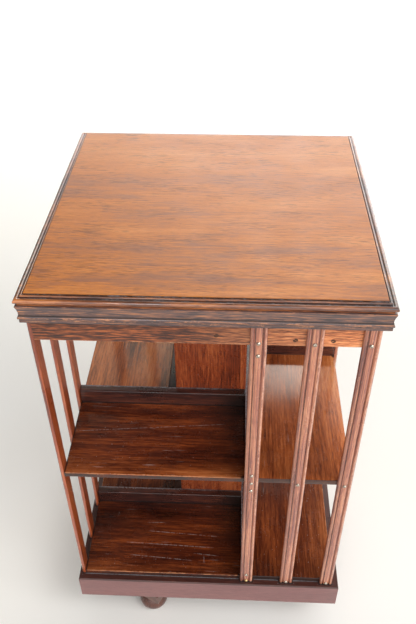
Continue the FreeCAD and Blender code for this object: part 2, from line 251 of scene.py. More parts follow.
def flat(start, end, pitch):
    """Points between two others: one where the wear has faded at each end, and one for each pitch."""
    run = end[:2] - start[:2]
    length = np.hypot(*run)
    if length < 2.2 * FADE:
        return np.empty((0, 5))
    places = np.linspace(FADE, length - FADE, max(2, math.ceil(length / pitch)))[:, None] / length
    facing = np.tile(np.array([run[1], -run[0]]) / length, (len(places), 1))
    return np.column_stack([start[:2] + places * run, facing, np.zeros(len(places))])


def outline(items, pitch=8 * MM, closed=True):
    """Outline through corners, given as (out, up, radius), and arcs made by bow."""
    ends = [np.atleast_2d(item)[[0, -1], :2] for item in items]
    parts = []
    for number, item in enumerate(items):
        if isinstance(item, np.ndarray):
            parts.append(item)
        elif not closed and number in (0, len(items) - 1):
            parts.append(np.array([[*item[:2], 0, 1 if number else -1, 0]]))
        else:
            before, after = ends[number - 1][1], ends[(number + 1) % len(items)][0]
            parts.append(rounded(before, item[:2], after, item[2]))
    following = parts[1:] + parts[:1] if closed else parts[1:]
    flats = [flat(part[-1], after[0], pitch) for part, after in zip(parts, following)]
    flats.append(np.empty((0, 5)))
    return np.concatenate([rows for pair in zip(parts, flats) for rows in pair])


def bar(inner, outer, low, high, radii, pitch=8 * MM):
    """Rectangular section with softened arrises, of one radius or of four in turn."""
    corners = [(inner, low), (outer, low), (outer, high), (inner, high)]
    return outline([(*corner, radius) for corner, radius in zip(corners, np.broadcast_to(radii, 4))], pitch)


sample = bar(column_half, case_half, shelf_low, shelf_high, 1.2 * MM)
print("points round the section of a shelf board:", len(sample))

# %% [markdown]
# ## Carrying a section
#
# A sawn end is eased too. Near the end the whole outline is drawn in along its normals, by
# r - sqrt(r^2 - (r - s)^2) at a distance s from the end, which is the same quarter circle as on the
# long arrises. A mitred end needs no such thing: each point simply stops where it meets its
# neighbour round the corner, as far along the face as it is out from the axis.

# %% Straight and mitred members
END_STEPS = 3


def along_face(station, out, up):
    """Lying member: stations run along the front face."""
    return np.stack([station, -out, up], -1)


def upright(station, x, out):
    """Standing member: stations run upwards."""
    return np.stack([x, -out, station], -1)


def carried(section, start, end, radius, pitch, place, extra=()):
    """Section carried from start to end between two eased ends."""
    swing = np.linspace(0, math.pi / 2, END_STEPS + 1)
    setback = np.append(radius * (1 - np.cos(swing)), radius + FADE)
    drawn_in = np.append(radius * (1 - np.sin(swing)), 0.0)
    worn = np.append(np.ones(END_STEPS + 1), 0.0)
    count = max(2, math.ceil((end - start) / pitch))
    inner = np.linspace(start + setback[-1], end - setback[-1], count)[1:-1]
    inner = np.unique(np.round(np.concatenate([inner, np.asarray(extra, float)]), 5))
    inner = inner[(inner > start + setback[-1]) & (inner < end - setback[-1])]
    stations = np.concatenate([start + setback, inner, end - setback[::-1]])
    inset = np.concatenate([drawn_in, np.zeros(len(inner)), drawn_in[::-1]])
    end_wear = np.concatenate([worn, np.zeros(len(inner)), worn[::-1]])
    a = section[:, OUT] - inset[:, None] * section[:, NORMAL_OUT]
    b = section[:, UP] - inset[:, None] * section[:, NORMAL_UP]
    s = np.broadcast_to(stations[:, None], a.shape)
    wear = np.maximum(section[:, WORN], end_wear[:, None])
    return tube(place(s, a, b), np.stack([s, a, b], -1), wear=wear)


def mitred(section, pitch):
    """Section carried along the front and mitred: a point that is out by d runs from -d to d."""
    reach = section[:, OUT].max()
    count = math.ceil(reach / pitch)
    ladder = np.append(np.linspace(0, 1 - 3 * MM / reach, count), [1 - 1 * MM / reach, 1.0])
    ladder = np.concatenate([-ladder[:0:-1], ladder])
    out = np.broadcast_to(section[:, OUT], (len(ladder), len(section)))
    up = np.broadcast_to(section[:, UP], out.shape)
    s = ladder[:, None] * out
    wear = np.broadcast_to(section[:, WORN], out.shape)
    return tube(along_face(s, out, up), np.stack([s, out, up], -1), wear=wear)


def near(distance, reach):
    """1 at no distance, fading to 0 at the reach, gently at both ends."""
    t = np.clip(1 - np.abs(distance) / reach, 0, 1)
    return t * t * (3 - 2 * t)


def box_distance(a, b, a_range, b_range):
    """Distance in a plane from points to a rectangle."""
    da = np.maximum(np.maximum(a_range[0] - a, a - a_range[1]), 0)
    db = np.maximum(np.maximum(b_range[0] - b, b - b_range[1]), 0)
    return np.hypot(da, db)


test_board = carried(sample, sail_start, sail_end, 1.2 * MM, 8 * MM, along_face)
print("a shelf board holds", round(test_board.volume() * 1e6, 1), "cubic centimetres")

# %% [markdown]
# ## From form to object
#
# The grain and the marks become attributes of the mesh, which the materials read. A piece takes its
# body and its material slot from the node that it stands for.

# %% Making pieces
bodies = frame["record"]["behaviour"]["bodies"]
body_of = {node: body for body, nodes in bodies.items() for node in nodes}
slot_of = {part["node"]: part["material_slot"] for part in frame["record"]["subparts"]}
SMOOTH_ANGLE = math.radians(38)
made = []


def linked(name, data):
    """New object of a mesh, a light or a camera, linked into the scene."""
    obj = bpy.data.objects.new(name, data)
    bpy.context.scene.collection.objects.link(obj)
    return obj


def piece(name, form, node, weld=0.0):
    """Turns a form into a mesh object that stands for one node."""
    mesh = bpy.data.meshes.new(name)
    faces = [face for rows in form.faces for face in rows.tolist()]
    mesh.from_pydata(form.points.tolist(), [], faces, shade_flat=False)
    grain = mesh.attributes.new("grain", "FLOAT_VECTOR", "POINT")
    grain.data.foreach_set("vector", form.grain.astype(np.float32).ravel())
    for mark in MARKS:
        values = np.clip(form.marks[mark], 0, 1).astype(np.float32)
        mesh.attributes.new(mark, "FLOAT", "POINT").data.foreach_set("value", values)
    mesh.validate()
    if weld:
        merge_doubles(mesh, weld)
    mesh.set_sharp_from_angle(angle=SMOOTH_ANGLE)
    obj = linked(name, mesh)
    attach(obj, body_of[node])
    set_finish(obj, slot_of[node])
    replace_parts(obj, node)
    made.append(obj)


def merge_doubles(mesh, distance):
    """Closes seams and poles where rows of points fall together."""
    work = bmesh.new()
    work.from_mesh(mesh)
    bmesh.ops.remove_doubles(work, verts=work.verts, dist=distance)
    work.to_mesh(mesh)
    work.free()


def four_pieces(name, form, node, rng, fades=(0.0, 0.0, 0.0, 0.0), **shares):
    """The same form on each side, each from a plank of its own.

    Each side has its fading added, which also paints how brightly it is lit, and its share of any
    other mark that is named."""
    for side, side_name in enumerate(SIDES):
        cut = form.on_side(side).from_plank(rng, fades[side])
        for mark, share in shares.items():
            cut.marks[mark] = cut.marks[mark] * share[side]
        piece(name + "_" + side_name, cut, node + "_" + side_name)


print("bodies:", {body: len(nodes) for body, nodes in bodies.items()})

# %% [markdown]
# ## The top board
#
# One wide board, moulded round its edge with a quirk, a small reed, a second quirk and a rounded
# lip. A section carried four times would leave mitres in a board that has none. Instead each point
# of the profile is drawn round the whole board as a square ring, from the middle of the underside
# out to the lip and back to the middle of the face. Years of handling have left the lip a little
# uneven, so its rings are rippled by a sum of a few sine waves that closes on itself.

# %% The top board
PANEL_SETBACK = 11.7 * MM
PANEL_QUIRK_WIDTH = 0.8 * MM
PANEL_QUIRK_DEPTH = 2.6 * MM
EDGE_REED_RADIUS = 1.5 * MM
LIP_RADIUS = 3.5 * MM
LIP_DROP = 3.0 * MM
LIP_START = 145.0
UNDERCUT_SETBACK = 4.0 * MM
RING_STEPS = 60
RING_CROWDING = 0.96
LIP_RIPPLE = 0.16 * MM
LIP_INSET = 2.0
LIP_WEAR = 0.45
PANEL_WEAR = 0.3


def square_ring(steps):
    """Points round a square of half size 1, starting at one corner, closer together near the corners."""
    bend = np.linspace(-math.pi / 2, math.pi / 2, steps, endpoint=False)
    t = np.sin(bend * RING_CROWDING) / math.sin(math.pi / 2 * RING_CROWDING)
    t = np.concatenate([[-1.0], t[1:]])
    side = np.stack([t, -np.ones(steps)], -1)
    quarter = np.array([[0.0, 1.0], [-1.0, 0.0]])
    return np.concatenate([side @ np.linalg.matrix_power(quarter, k) for k in range(4)])


def ripple(angle, rng, waves=(3, 5, 8, 13, 21, 34, 55)):
    """Sum of sine waves round a ring, between about -1 and 1, with random phases."""
    phases = rng.uniform(0, 2 * math.pi, len(waves))
    return sum(np.sin(k * angle + phase) for k, phase in zip(waves, phases)) / math.sqrt(len(waves))


def top_board(rng):
    """Square rings through the profile of the board.

    The ripple is drawn in by a few times its size, so that no ring passes the board's own edge."""
    panel_out = top_half - PANEL_SETBACK
    quirk_level = top_face - PANEL_QUIRK_DEPTH
    reed_out = panel_out + PANEL_QUIRK_WIDTH + EDGE_REED_RADIUS
    lip_centre = (top_half - LIP_RADIUS, top_face - LIP_DROP - LIP_RADIUS)
    lip_shoulder = lip_centre[1] + LIP_RADIUS * math.sin(math.radians(LIP_START))
    undercut_out = top_half - UNDERCUT_SETBACK
    middle = 4 * MM
    fine = 0.25 * MM
    profile = outline([
        (middle, moulding_high, 0),
        (undercut_out, moulding_high, fine),
        (undercut_out, lip_centre[1] - LIP_RADIUS, fine),
        bow(lip_centre, LIP_RADIUS, -90, LIP_START),
        (reed_out + EDGE_REED_RADIUS + fine, lip_shoulder, fine),
        (reed_out + EDGE_REED_RADIUS, quirk_level, 0.1 * MM),
        bow((reed_out, quirk_level), EDGE_REED_RADIUS, 5, 175),
        (panel_out + PANEL_QUIRK_WIDTH, quirk_level, 0.1 * MM),
        (panel_out, quirk_level, 0.1 * MM),
        (panel_out, top_face, 0.5 * MM),
        (middle, top_face, 0),
    ], pitch=12 * MM, closed=False)
    ring = square_ring(RING_STEPS)
    angle = np.arctan2(ring[:, 1], ring[:, 0])
    out = np.broadcast_to(profile[:, OUT, None], (len(profile), len(ring)))
    up = np.broadcast_to(profile[:, UP, None], out.shape)
    on_lip = near(out - top_half, 2 * LIP_RADIUS)
    out = out + LIP_RIPPLE * on_lip * (ripple(angle, rng) - LIP_INSET)
    rings = np.concatenate([out[..., None] * ring, up[..., None]], -1)
    above = up > lip_centre[1]
    first_quirk = near(out - panel_out - PANEL_QUIRK_WIDTH / 2, 1.6 * MM)
    second_quirk = near(out - reed_out - EDGE_REED_RADIUS - 0.8 * MM, 2.0 * MM)
    in_quirk = above * np.maximum(first_quirk, second_quirk)
    undercut = near(up - lip_centre[1] + LIP_RADIUS, 2 * MM) * (out < undercut_out + 1 * MM)
    wear = np.broadcast_to(profile[:, WORN, None], out.shape) * (1 - in_quirk)
    wear = wear * np.where(out > panel_out + 0.3 * MM, LIP_WEAR, PANEL_WEAR)
    face = (up > quirk_level + 1 * MM) * (out < panel_out + 0.2 * MM)
    # Grime in the quirks and under the lip is wax and also painted shade; the pale dust in the quirks is
    # also a painted sheen.
    grime = np.maximum(undercut, in_quirk)
    return tube(rings, rings, wear=wear, dust=0.8 * in_quirk, grime=grime, fade=face)


rng = np.random.default_rng(1890)
top = top_board(rng).from_plank(rng)
piece("polished_top_board", top, "top_board")
print("top board:", len(top.points), "points")

# %% [markdown]
# ## The moulding and the frieze
#
# Under the top runs a mitred moulding: a plain foot, a bead, a shallow cove and a square head. The
# frieze rail behind it is a plain board. Wax gathers above the bead and at the mitres, and the same
# dark marks also paint the shade that falls in those corners.

# %% The moulding and the frieze
FOOT_PROJECTION = 10.0 * MM
FOOT_HEIGHT = 5.2 * MM
BEAD_RADIUS = 3.2 * MM
BEAD_PROJECTION = 11.6 * MM
BEAD_END = 70.0
COVE_HOLLOW = 0.8 * MM
HEAD_PROJECTION = 11.9 * MM
HEAD_HEIGHT = 1.6 * MM
CEILING_ARRIS = 0.5 * MM
CEILING_PITCH = 20 * MM


def hollow_between(start, end, depth):
    """Shallow arc from one point to another whose middle lies a given depth inside their line.

    With a chord c and a sagitta h the radius is c^2 / 8h + h / 2."""
    start, end = np.array(start), np.array(end)
    chord = end - start
    length = np.hypot(*chord)
    radius = length ** 2 / (8 * depth) + depth / 2
    facing = np.array([chord[1], -chord[0]]) / length
    centre = (start + end) / 2 + (radius - depth) * facing
    first = math.degrees(math.atan2(*(start - centre)[::-1]))
    last = math.degrees(math.atan2(*(end - centre)[::-1]))
    if last > first:
        last -= 360
    return bow(centre, radius, first, last, worn=0.0)


def top_moulding():
    """Section of the moulding, mitred, with wax and painted shade in its quirks."""
    foot_out = case_half + FOOT_PROJECTION
    head_out = case_half + HEAD_PROJECTION
    foot_top = moulding_low + FOOT_HEIGHT
    head_low = moulding_high - HEAD_HEIGHT
    bead_centre = (case_half + BEAD_PROJECTION - BEAD_RADIUS, foot_top + BEAD_RADIUS)
    bead = bow(bead_centre, BEAD_RADIUS, -80, BEAD_END)
    section = outline([
        (case_half, moulding_low, 0.2 * MM),
        (foot_out, moulding_low, 0.6 * MM),
        (foot_out, foot_top, 0.4 * MM),
        bead,
        hollow_between(bead[-1, :2], (head_out, head_low), COVE_HOLLOW),
        (head_out, moulding_high, 0.3 * MM),
        (case_half, moulding_high, 0.2 * MM),
    ], pitch=6 * MM)
    form = mitred(section, 9 * MM)
    x, out, up = form.places()
    # Wax round the bead, at the bottom of the foot and at the mitres, which is also painted shade there.
    waxed = np.maximum.reduce([
        near(up - foot_top, 1.2 * MM) * near(out - bead_centre[0], 3 * MM),
        near(up - bead[-1, UP], 2.5 * MM) * 0.8,
        near(up - moulding_low, 1.6 * MM) * 0.8,
        near(np.abs(x) - out, 1.2 * MM) * 0.9,
    ])
    rubbed = form.marks["wear"] * np.where(up < foot_top - 0.7 * MM, 0.25, 0.7)
    return form.marked(grime=waxed, wear=rubbed)


def frieze_rail():
    """Plain rail, mitred at the corners, and more faded towards its right end.

    The lighter right end is also painted light, and under the moulding the rail has painted shade.
    """
    form = mitred(bar(rail_inner, case_half, ceiling_low, rail_top, 0.9 * MM), 12 * MM)
    x, _, up = form.places()
    # Painted shade under the moulding, and towards the right end fading together with painted light.
    return form.marked(grime=0.8 * near(up - moulding_low, 5 * MM), fade=np.clip(0.1 + x / case_half, 0, 1))


four_pieces("polished_top_moulding", top_moulding(), "top_moulding", rng)
four_pieces("polished_frieze_rail", frieze_rail(), "frieze_rail", rng)
ceiling_top = front_reach("ceiling_board")[2][1]
ceiling_section = bar(-rail_inner, rail_inner, ceiling_low, ceiling_top, CEILING_ARRIS, CEILING_PITCH)
ceiling = carried(ceiling_section, -rail_inner, rail_inner, CEILING_ARRIS, CEILING_PITCH, along_face)
piece("dark_ceiling_board", ceiling.from_plank(rng), "ceiling_board")
print("pieces so far:", len(made))

# %% [markdown]
# ## The column and its sails
#
# The column is four upright boards. Round it, on each level, lie the four sails: boards as long as
# an opening and as deep as a row of books. Books slid in and out have rubbed their front arris
# pale, and that pale line is also a painted highlight. Old polish has gathered dark along the
# stops, round the feet of the slats and in corners that a duster misses, and this darkening also
# paints the shade in those corners. The ends against the column are painted nearly black, as
# shadow. The four sides are one form, but a bookcase that stands for years with one side to the
# window doesn't fade evenly, and its sides are not lit alike. So each side has its own amount of
# fading, which also paints how much light falls on it, and its own share of the painted shade.

# %% The column and its sails
STOP_GRIME_REACH = 5 * MM
SLAT_GRIME_REACH = 6 * MM
INNER_END_REACH = 95 * MM
INNER_END_DEPTH = 300 * MM
OUTER_END_REACH = 70 * MM
DUST_SETBACK = 24 * MM
DUST_REACH = 46 * MM
FADED_STRIP_START = 180 * MM
# Fading of each side, which also paints how brightly that side is lit, and each side's share of the painted
# shade.
SHELF_FADES = (-0.10, 0.34, 0.3, 0.75)
BOTTOM_FADES = (-0.10, 0.05, 0.1, 0.0)
SHELF_SHADES = (1.0, 0.0, 0.4, 0.0)
BOTTOM_SHADES = (1.0, 0.9, 0.6, 1.0)


def column_board():
    """Upright board of the hollow column, butted to its neighbours."""
    reach, (inner, outer), (low, high) = front_reach("column_board_front")
    section = bar(*reach, inner, outer, np.array([0.5, 0.5, 0.5, 0.9]) * MM)
    form = carried(section, low, high, 0.5 * MM, 12 * MM, upright)
    level = form.points[:, 2]
    dusted_past = (bottom_high + STOP_HEIGHT, shelf_low, shelf_high + STOP_HEIGHT)
    at_boards = [near(level - board, 14 * MM) for board in dusted_past]
    # Dark bands where the boards, the stops and the ceiling meet the column are wax and also painted shade.
    waxed = 0.5 * np.maximum.reduce(at_boards + [near(level - ceiling_low, 20 * MM)])
    # Below the shelf the column is darkened by painted shade.
    return form.marked(grime=waxed, shade=0.25 * (level < shelf_low), wear=0 * level)


def sail(low, high, scuffed, smoky, strip_fade):
    """Board of one level, with wax and painted shade along its stop and at the slats, and scuffs near
    its front.

    Both ends are darkened by painted shade. A strip along its front is lighter, partly faded by
    daylight and partly painted light, and its front arris is rubbed pale, which is also a painted
    highlight."""
    section = bar(column_half, case_half, low, high, 1.1 * MM, 5 * MM)
    form = carried(section, sail_start, sail_end, 0.9 * MM, 5 * MM, along_face)
    x, out, up = form.places()
    on_top = up > high - 1.3 * MM
    stop_line = near(out - column_half - STOP_THICKNESS, STOP_GRIME_REACH)
    to_inner_slat = box_distance(x, out, slat_reaches["inner"], (case_half, slat_face))
    at_inner_slat = near(to_inner_slat, 2 * SLAT_GRIME_REACH)
    at_left_slats = [
        near(box_distance(x, out, (-slat_face, -case_half), reach), SLAT_GRIME_REACH)
        for reach in slat_reaches.values()
    ]
    at_start = near(x - sail_start, 2.4 * MM)
    on_front_face = (out > case_half - 0.5 * MM) * (up < high - 0.8 * MM)
    # Wax along the stop, at the slats, at the outer end and on the front face; these dark bands are also
    # painted shade.
    waxed = [on_top * stop_line, at_inner_slat, 0.9 * at_start, 0.62 * on_front_face]
    # Painted shadow at the inner end, where the slat and the stop shade it, and painted shade at the outer
    # end.
    inner_end = near(x - sail_end, INNER_END_REACH) * near(out - column_half, INNER_END_DEPTH)
    smoke = np.maximum(inner_end, smoky + 0.3 * near(x - sail_start, OUTER_END_REACH))
    dust = scuffed * on_top * near(out - case_half + DUST_SETBACK, DUST_REACH)
    # The front arris is rubbed pale by books, and this pale line is also a painted highlight.
    rubbed = near(np.hypot(out - case_half, up - high + 0.6 * MM), 3.4 * MM)
    # The strip towards the front is lighter, partly faded and partly painted light.
    strip = np.clip((out - FADED_STRIP_START) / (case_half - FADED_STRIP_START), 0, 1)
    return form.marked(
        grime=np.maximum.reduce(waxed + at_left_slats), shade=smoke, dust=dust,
        wear=1.2 * rubbed * (1 - at_start), fade=strip_fade * strip * (1 - on_front_face))


four_pieces("polished_column_board", column_board(), "column_board", rng)
shelf_sail = sail(shelf_low, shelf_high, 0.15, 0.0, 0.5)
four_pieces("polished_shelf_board", shelf_sail, "shelf_board", rng, SHELF_FADES, shade=SHELF_SHADES)
# The bottom boards also carry an even base of painted shade.
bottom_sail = sail(bottom_low, bottom_high, 0.5, 0.15, 0.25)
four_pieces("polished_bottom_board", bottom_sail, "bottom_board", rng, BOTTOM_FADES, shade=BOTTOM_SHADES)
print("pieces so far:", len(made))

# %% [markdown]
# ## Book stops
#
# A stop is a square strip along the column that keeps books from sliding through to the next
# opening. Dust settles on the top of the standing ones.

# %% Book stops
STOP_ARRIS = 1.6 * MM


def stop(low, high, dusty):
    """Strip along the column, its free arrises eased."""
    outer = column_half + STOP_THICKNESS
    tight = 0.3 * MM
    loose = (tight, STOP_ARRIS) if dusty else (STOP_ARRIS, tight)
    section = bar(column_half, outer, low, high, (tight, *loose, tight), 4 * MM)
    form = carried(section, sail_start, sail_end, 0.6 * MM, 8 * MM, along_face)
    x, out, up = form.places()
    dust = dusty * (up > high - 0.2 * MM) * (0.35 + 0.65 * near(out - column_half, 9 * MM))
    # Wax at the foot of the strip, which is also painted shade, and painted shade towards the inner end.
    waxed = 0.9 * near(up - (low if dusty else high), 4 * MM)
    return form.marked(dust=dust, grime=waxed, shade=near(x - sail_end, 80 * MM), wear=0 * x)


stop_levels = {
    "bottom_book_stops": (bottom_high, bottom_high + STOP_HEIGHT, 0.8),
    "shelf_book_stops": (shelf_high, shelf_high + STOP_HEIGHT, 0.8),
    "shelf_hanging_stops": (shelf_low - STOP_HEIGHT, shelf_low, 0.0),
    "ceiling_hanging_stops": (ceiling_low - STOP_HEIGHT, ceiling_low, 0.0),
}
for node, levels in stop_levels.items():
    strips = [stop(*levels).on_side(side).from_plank(rng) for side in range(4)]
    piece("polished_" + node, joined(strips), node)
print("pieces so far:", len(made))

# %% [markdown]
# ## Reeded slats
#
# Each slat has a half-round reed on both edges, a groove beside it and a faintly crowned middle,
# which the screws hold to the boards behind. The section is drawn with the face's own arcs. The
# grooves hold wax and dust, and each screw has a dark ring of it, so stations are added there; these
# dark marks are also painted shade. A painted highlight runs along the right reed and painted shade
# along the left one. The slats of the back and of the left side have had less light, and are redder
# and less rubbed, so they also carry less painted light and less of the painted highlight.

# %% Reeded slats
board_levels = [(bottom_low + bottom_high) / 2, (shelf_low + shelf_high) / 2, ceiling_low + 8 * MM]
inner_stop_levels = [
    bottom_high + STOP_HEIGHT / 2,
    shelf_low - STOP_HEIGHT / 2,
    shelf_high + STOP_HEIGHT / 2,
    ceiling_low - STOP_HEIGHT / 2,
]
screw_levels = {"inner": board_levels + inner_stop_levels, "middle": board_levels, "corner": board_levels}
SCREW_RING = 7.4 * MM
# Each side's fading, which also paints how brightly its slats are lit, and its share of wear, which also
# carries the painted highlight.
SLAT_FADES = (0.0, 0.0, -0.3, -0.9)
SLAT_WEAR = (1.0, 1.0, 0.6, 0.1)


def slat(name):
    """One slat of the front side."""
    low, high = slat_reaches[name]
    place = slat_places[name]
    reed = REED_WIDTH / 2
    floor = slat_face - reed
    middle = slat_width / 2 - REED_WIDTH - GROOVE_WIDTH
    section = outline([
        (low, case_half, 0.3 * MM),
        (high, case_half, 0.3 * MM),
        bow((high - reed, floor), reed, 0, 178),
        (place + middle, floor, 0.2 * MM),
        (place + middle, slat_face - CROWN_HEIGHT, 0.3 * MM),
        (place + middle / 3, slat_face, 2 * MM),
        (place - middle / 3, slat_face, 2 * MM),
        (place - middle, slat_face - CROWN_HEIGHT, 0.3 * MM),
        (place - middle, floor, 0.2 * MM),
        bow((low + reed, floor), reed, 2, 180),
    ])
    levels = screw_levels[name]
    around = np.concatenate([level + np.linspace(-6, 6, 9) * MM for level in levels])
    form = carried(section, plinth_high, moulding_low, 0.5 * MM, 14 * MM, upright, around)
    x, out, level = form.places()
    groove = near(np.abs(x - place) - middle - GROOVE_WIDTH / 2, 1.6 * MM) * near(out - floor, 1.2 * MM)
    rings = [near(np.hypot(x - place, level - height), SCREW_RING) for height in levels]
    on_face = out > floor + 1 * MM
    at_ends = near(level - plinth_high, 7 * MM)
    # Grooves, rings round the screws and the foot are darkened: wax, and painted shade.
    waxed = np.maximum.reduce([groove, on_face * np.maximum.reduce(rings), 0.8 * at_ends])
    # A painted highlight along the right reed, carried by the wear mark.
    rubbed_reed = near(x - high + 0.8 * reed, 2.4 * MM) * on_face
    rubbed = np.maximum(0.5 * form.marks["wear"], 1.6 * rubbed_reed) * (1 - groove)
    # Painted shade along the left reed.
    shaded = 0.32 * near(x - low - 0.9 * reed, 2.8 * MM)
    faded = np.clip((out - floor) / (1 * MM) + 0.6, 0, 1)
    return form.marked(grime=waxed, wear=rubbed, shade=shaded, fade=faded)


for name in slat_places:
    four_pieces("reeded_" + name + "_slat", slat(name), name + "_slat", rng, SLAT_FADES, wear=SLAT_WEAR)
print("pieces so far:", len(made))

# %% [markdown]
# ## The plinth
#
# Four mitred rails make the plinth. Its top is a narrow ledge in front of the bottom boards, where
# a line of pale dust lies in the corner and dips round the foot of each slat.

# %% The plinth
LEDGE_DUST = 2.2 * MM
FOOT_WAX = 3.5 * MM


def plinth_rail():
    """Mitred rail with a rounded top arris, and dust and wax marked on its ledge.

    The wax is also painted shade, and the face takes the faded tones, which paint a sheen.
    """
    radii = np.array([0.8, 1.0, 2.0, 0.4]) * MM
    form = mitred(bar(plinth_inner, plinth_half, plinth_low, plinth_high, radii, 1.6 * MM), 3 * MM)
    x, out, up = form.places()
    on_ledge = up > plinth_high - 1.2 * MM
    feet = [box_distance(x, out, reach, (case_half, slat_face)) for reach in slat_reaches.values()]
    to_foot = np.minimum.reduce(feet)
    corner = near(out - case_half - 0.6 * MM, LEDGE_DUST)
    # Wax round the feet of the slats and along the inner corner, which is also painted shade there.
    waxed = on_ledge * np.maximum(near(to_foot, FOOT_WAX), 0.7 * near(out - case_half, 5 * MM))
    dip = 0.9 * near(to_foot - 3.2 * MM, 1.4 * MM)
    dust = on_ledge * np.maximum(corner * (to_foot > 2 * MM), dip)
    # The face takes the faded, mauve tones, which paint the sheen of the pale floor on it.
    faded = 1.0 - (up > plinth_high - 2.6 * MM)
    return form.marked(grime=waxed, dust=dust, fade=faded, wear=0.3 * form.marks["wear"])


four_pieces("satin_plinth_rail", plinth_rail(), "plinth_rail", rng)
print("pieces so far:", len(made))

# %% [markdown]
# ## Bun feet
#
# A foot is turned on a lathe, so its surface is its profile spun round an axis. The swell is two
# arcs that share their widest line, where both are upright. A foot stands wherever its node does.

# %% Bun feet
FOOT_WIDEST_LEVEL = 19 * MM
FOOT_PAD_RADIUS = 11 * MM
FOOT_NECK_RADIUS = 17 * MM
FOOT_COLLAR_RADIUS = 19 * MM
FOOT_COLLAR_HEIGHT = 5 * MM
FOOT_DOWEL_RADIUS = 8 * MM
TURNING_STEPS = 64


def swell(widest, end_radius, rise):
    """Arc that is upright at the widest line and passes through an end radius at a given rise.

    Its centre is at c = (w^2 - e^2 - h^2) / (2 (w - e)) on the widest line."""
    centre = (widest ** 2 - end_radius ** 2 - rise ** 2) / (2 * (widest - end_radius))
    end = math.degrees(math.atan2(rise, end_radius - centre))
    return centre, widest - centre, end


def turned(profile, steps):
    """Profile of radius and level spun round the vertical axis: (r cos t, r sin t, level)."""
    t = np.linspace(0, 2 * math.pi, steps, endpoint=False)
    radius = profile[:, OUT, None]
    level = np.broadcast_to(profile[:, UP, None], (len(profile), steps))
    rings = np.stack([radius * np.cos(t), radius * np.sin(t), level], -1)
    wear = np.broadcast_to(profile[:, WORN, None], level.shape)
    return tube(rings, rings[..., [2, 0, 1]], wear=wear)


def bun_foot(radius, collar_top, dowel_top):
    """Foot standing on the origin."""
    collar_low = collar_top - FOOT_COLLAR_HEIGHT
    low_centre, low_radius, low_end = swell(radius, FOOT_PAD_RADIUS, -FOOT_WIDEST_LEVEL)
    high_centre, high_radius, high_end = swell(radius, FOOT_NECK_RADIUS, collar_low - FOOT_WIDEST_LEVEL)
    profile = outline([
        (FOOT_PAD_RADIUS / 2, 0, 0),
        bow((low_centre, FOOT_WIDEST_LEVEL), low_radius, low_end, 0, worn=0.25)[:-1],
        bow((high_centre, FOOT_WIDEST_LEVEL), high_radius, 0, high_end, worn=0.25),
        (FOOT_COLLAR_RADIUS, collar_low, 1.2 * MM),
        (FOOT_COLLAR_RADIUS, collar_top, 0.4 * MM),
        (FOOT_DOWEL_RADIUS, collar_top, 0.4 * MM),
        (FOOT_DOWEL_RADIUS, dowel_top, 0),
    ], closed=False)
    form = turned(profile, TURNING_STEPS)
    level = np.maximum(form.points[:, 2], 0)
    form.points[:, 2] = level
    # Darker at the collar and where the foot meets the floor: wax, and painted shade.
    return form.marked(grime=np.maximum(near(level - collar_low, 3 * MM), near(level, 6 * MM)))


arm_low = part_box("cross_arm_lower")[0].z
for side_name in SIDES:
    foot_low, foot_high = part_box("bun_foot_" + side_name)
    foot_middle = (foot_low + foot_high) / 2
    foot_form = bun_foot((foot_high.x - foot_low.x) / 2, arm_low, foot_high.z)
    foot_form = foot_form.moved(shift=(foot_middle.x, foot_middle.y, 0)).from_plank(rng)
    piece("turned_bun_foot_" + side_name, foot_form, "bun_foot_" + side_name)
print("pieces so far:", len(made))

# %% [markdown]
# ## Screws
#
# The slats are held by round-headed wood screws, and the frieze by countersunk ones. A slot is
# easiest if the head isn't spun: at each place x across the head, a closed loop runs over the dome
# and back under it, and the slot is where the height is capped. Two columns stand close together at
# each slot wall to keep it steep.

# %% Slotted screw heads
SCREW_RADIUS = 1.7 * MM
SCREW_HEAD_RADIUS = 3.1 * MM
SCREW_HEAD_HEIGHT = 2.3 * MM
SCREW_LENGTH = 20 * MM
COUNTERSUNK_RADIUS = 3.6 * MM
COUNTERSUNK_HEIGHT = 0.35 * MM
COUNTERSUNK_LENGTH = 26 * MM
COUNTERSUNK_DEPTH = 0.1 * MM
SLOT_WIDTH = 0.8 * MM
SLOT_DEPTH = 1.1 * MM
HEAD_SKIRT = 0.9 * MM
SHANK_TOP = -0.5 * MM
POINT_LENGTH = 3 * MM
HEAD_COLUMNS = 11
HEAD_STEPS = 9


def slotted_head(radius, height):
    """Head seated at height zero: z = h * sqrt(1 - (r / R)^2), capped at the slot's floor inside it."""
    wall = SLOT_WIDTH / 2
    bend = np.linspace(-math.pi / 2, math.pi / 2, HEAD_COLUMNS)
    across = np.unique(np.concatenate([radius * np.sin(bend), [-wall, -wall * 0.9, wall * 0.9, wall]]))
    t = np.linspace(-1, 1, HEAD_STEPS)
    half = np.sqrt(np.maximum(radius ** 2 - across ** 2, 0))
    y = half[:, None] * t
    share = np.hypot(across[:, None], y) / radius
    z = height * np.sqrt(np.maximum(1 - share ** 2, 0))
    in_slot = np.abs(across[:, None]) < wall * 0.95
    z = np.where(in_slot, np.minimum(z, height - SLOT_DEPTH), z)
    under = np.full((len(across), 2), -HEAD_SKIRT)
    loop_y = np.hstack([y, half[:, None] * 0.999, -half[:, None] * 0.999])
    loop_z = np.hstack([z, under])
    loop_x = np.broadcast_to(across[:, None], loop_y.shape)
    rings = np.stack([loop_x, loop_y, loop_z], -1)
    # The slot is darkened by dirt and by painted shade.
    grime = np.zeros(loop_z.shape)
    grime[:, :HEAD_STEPS] = in_slot
    return tube(rings, rings, grime=grime)


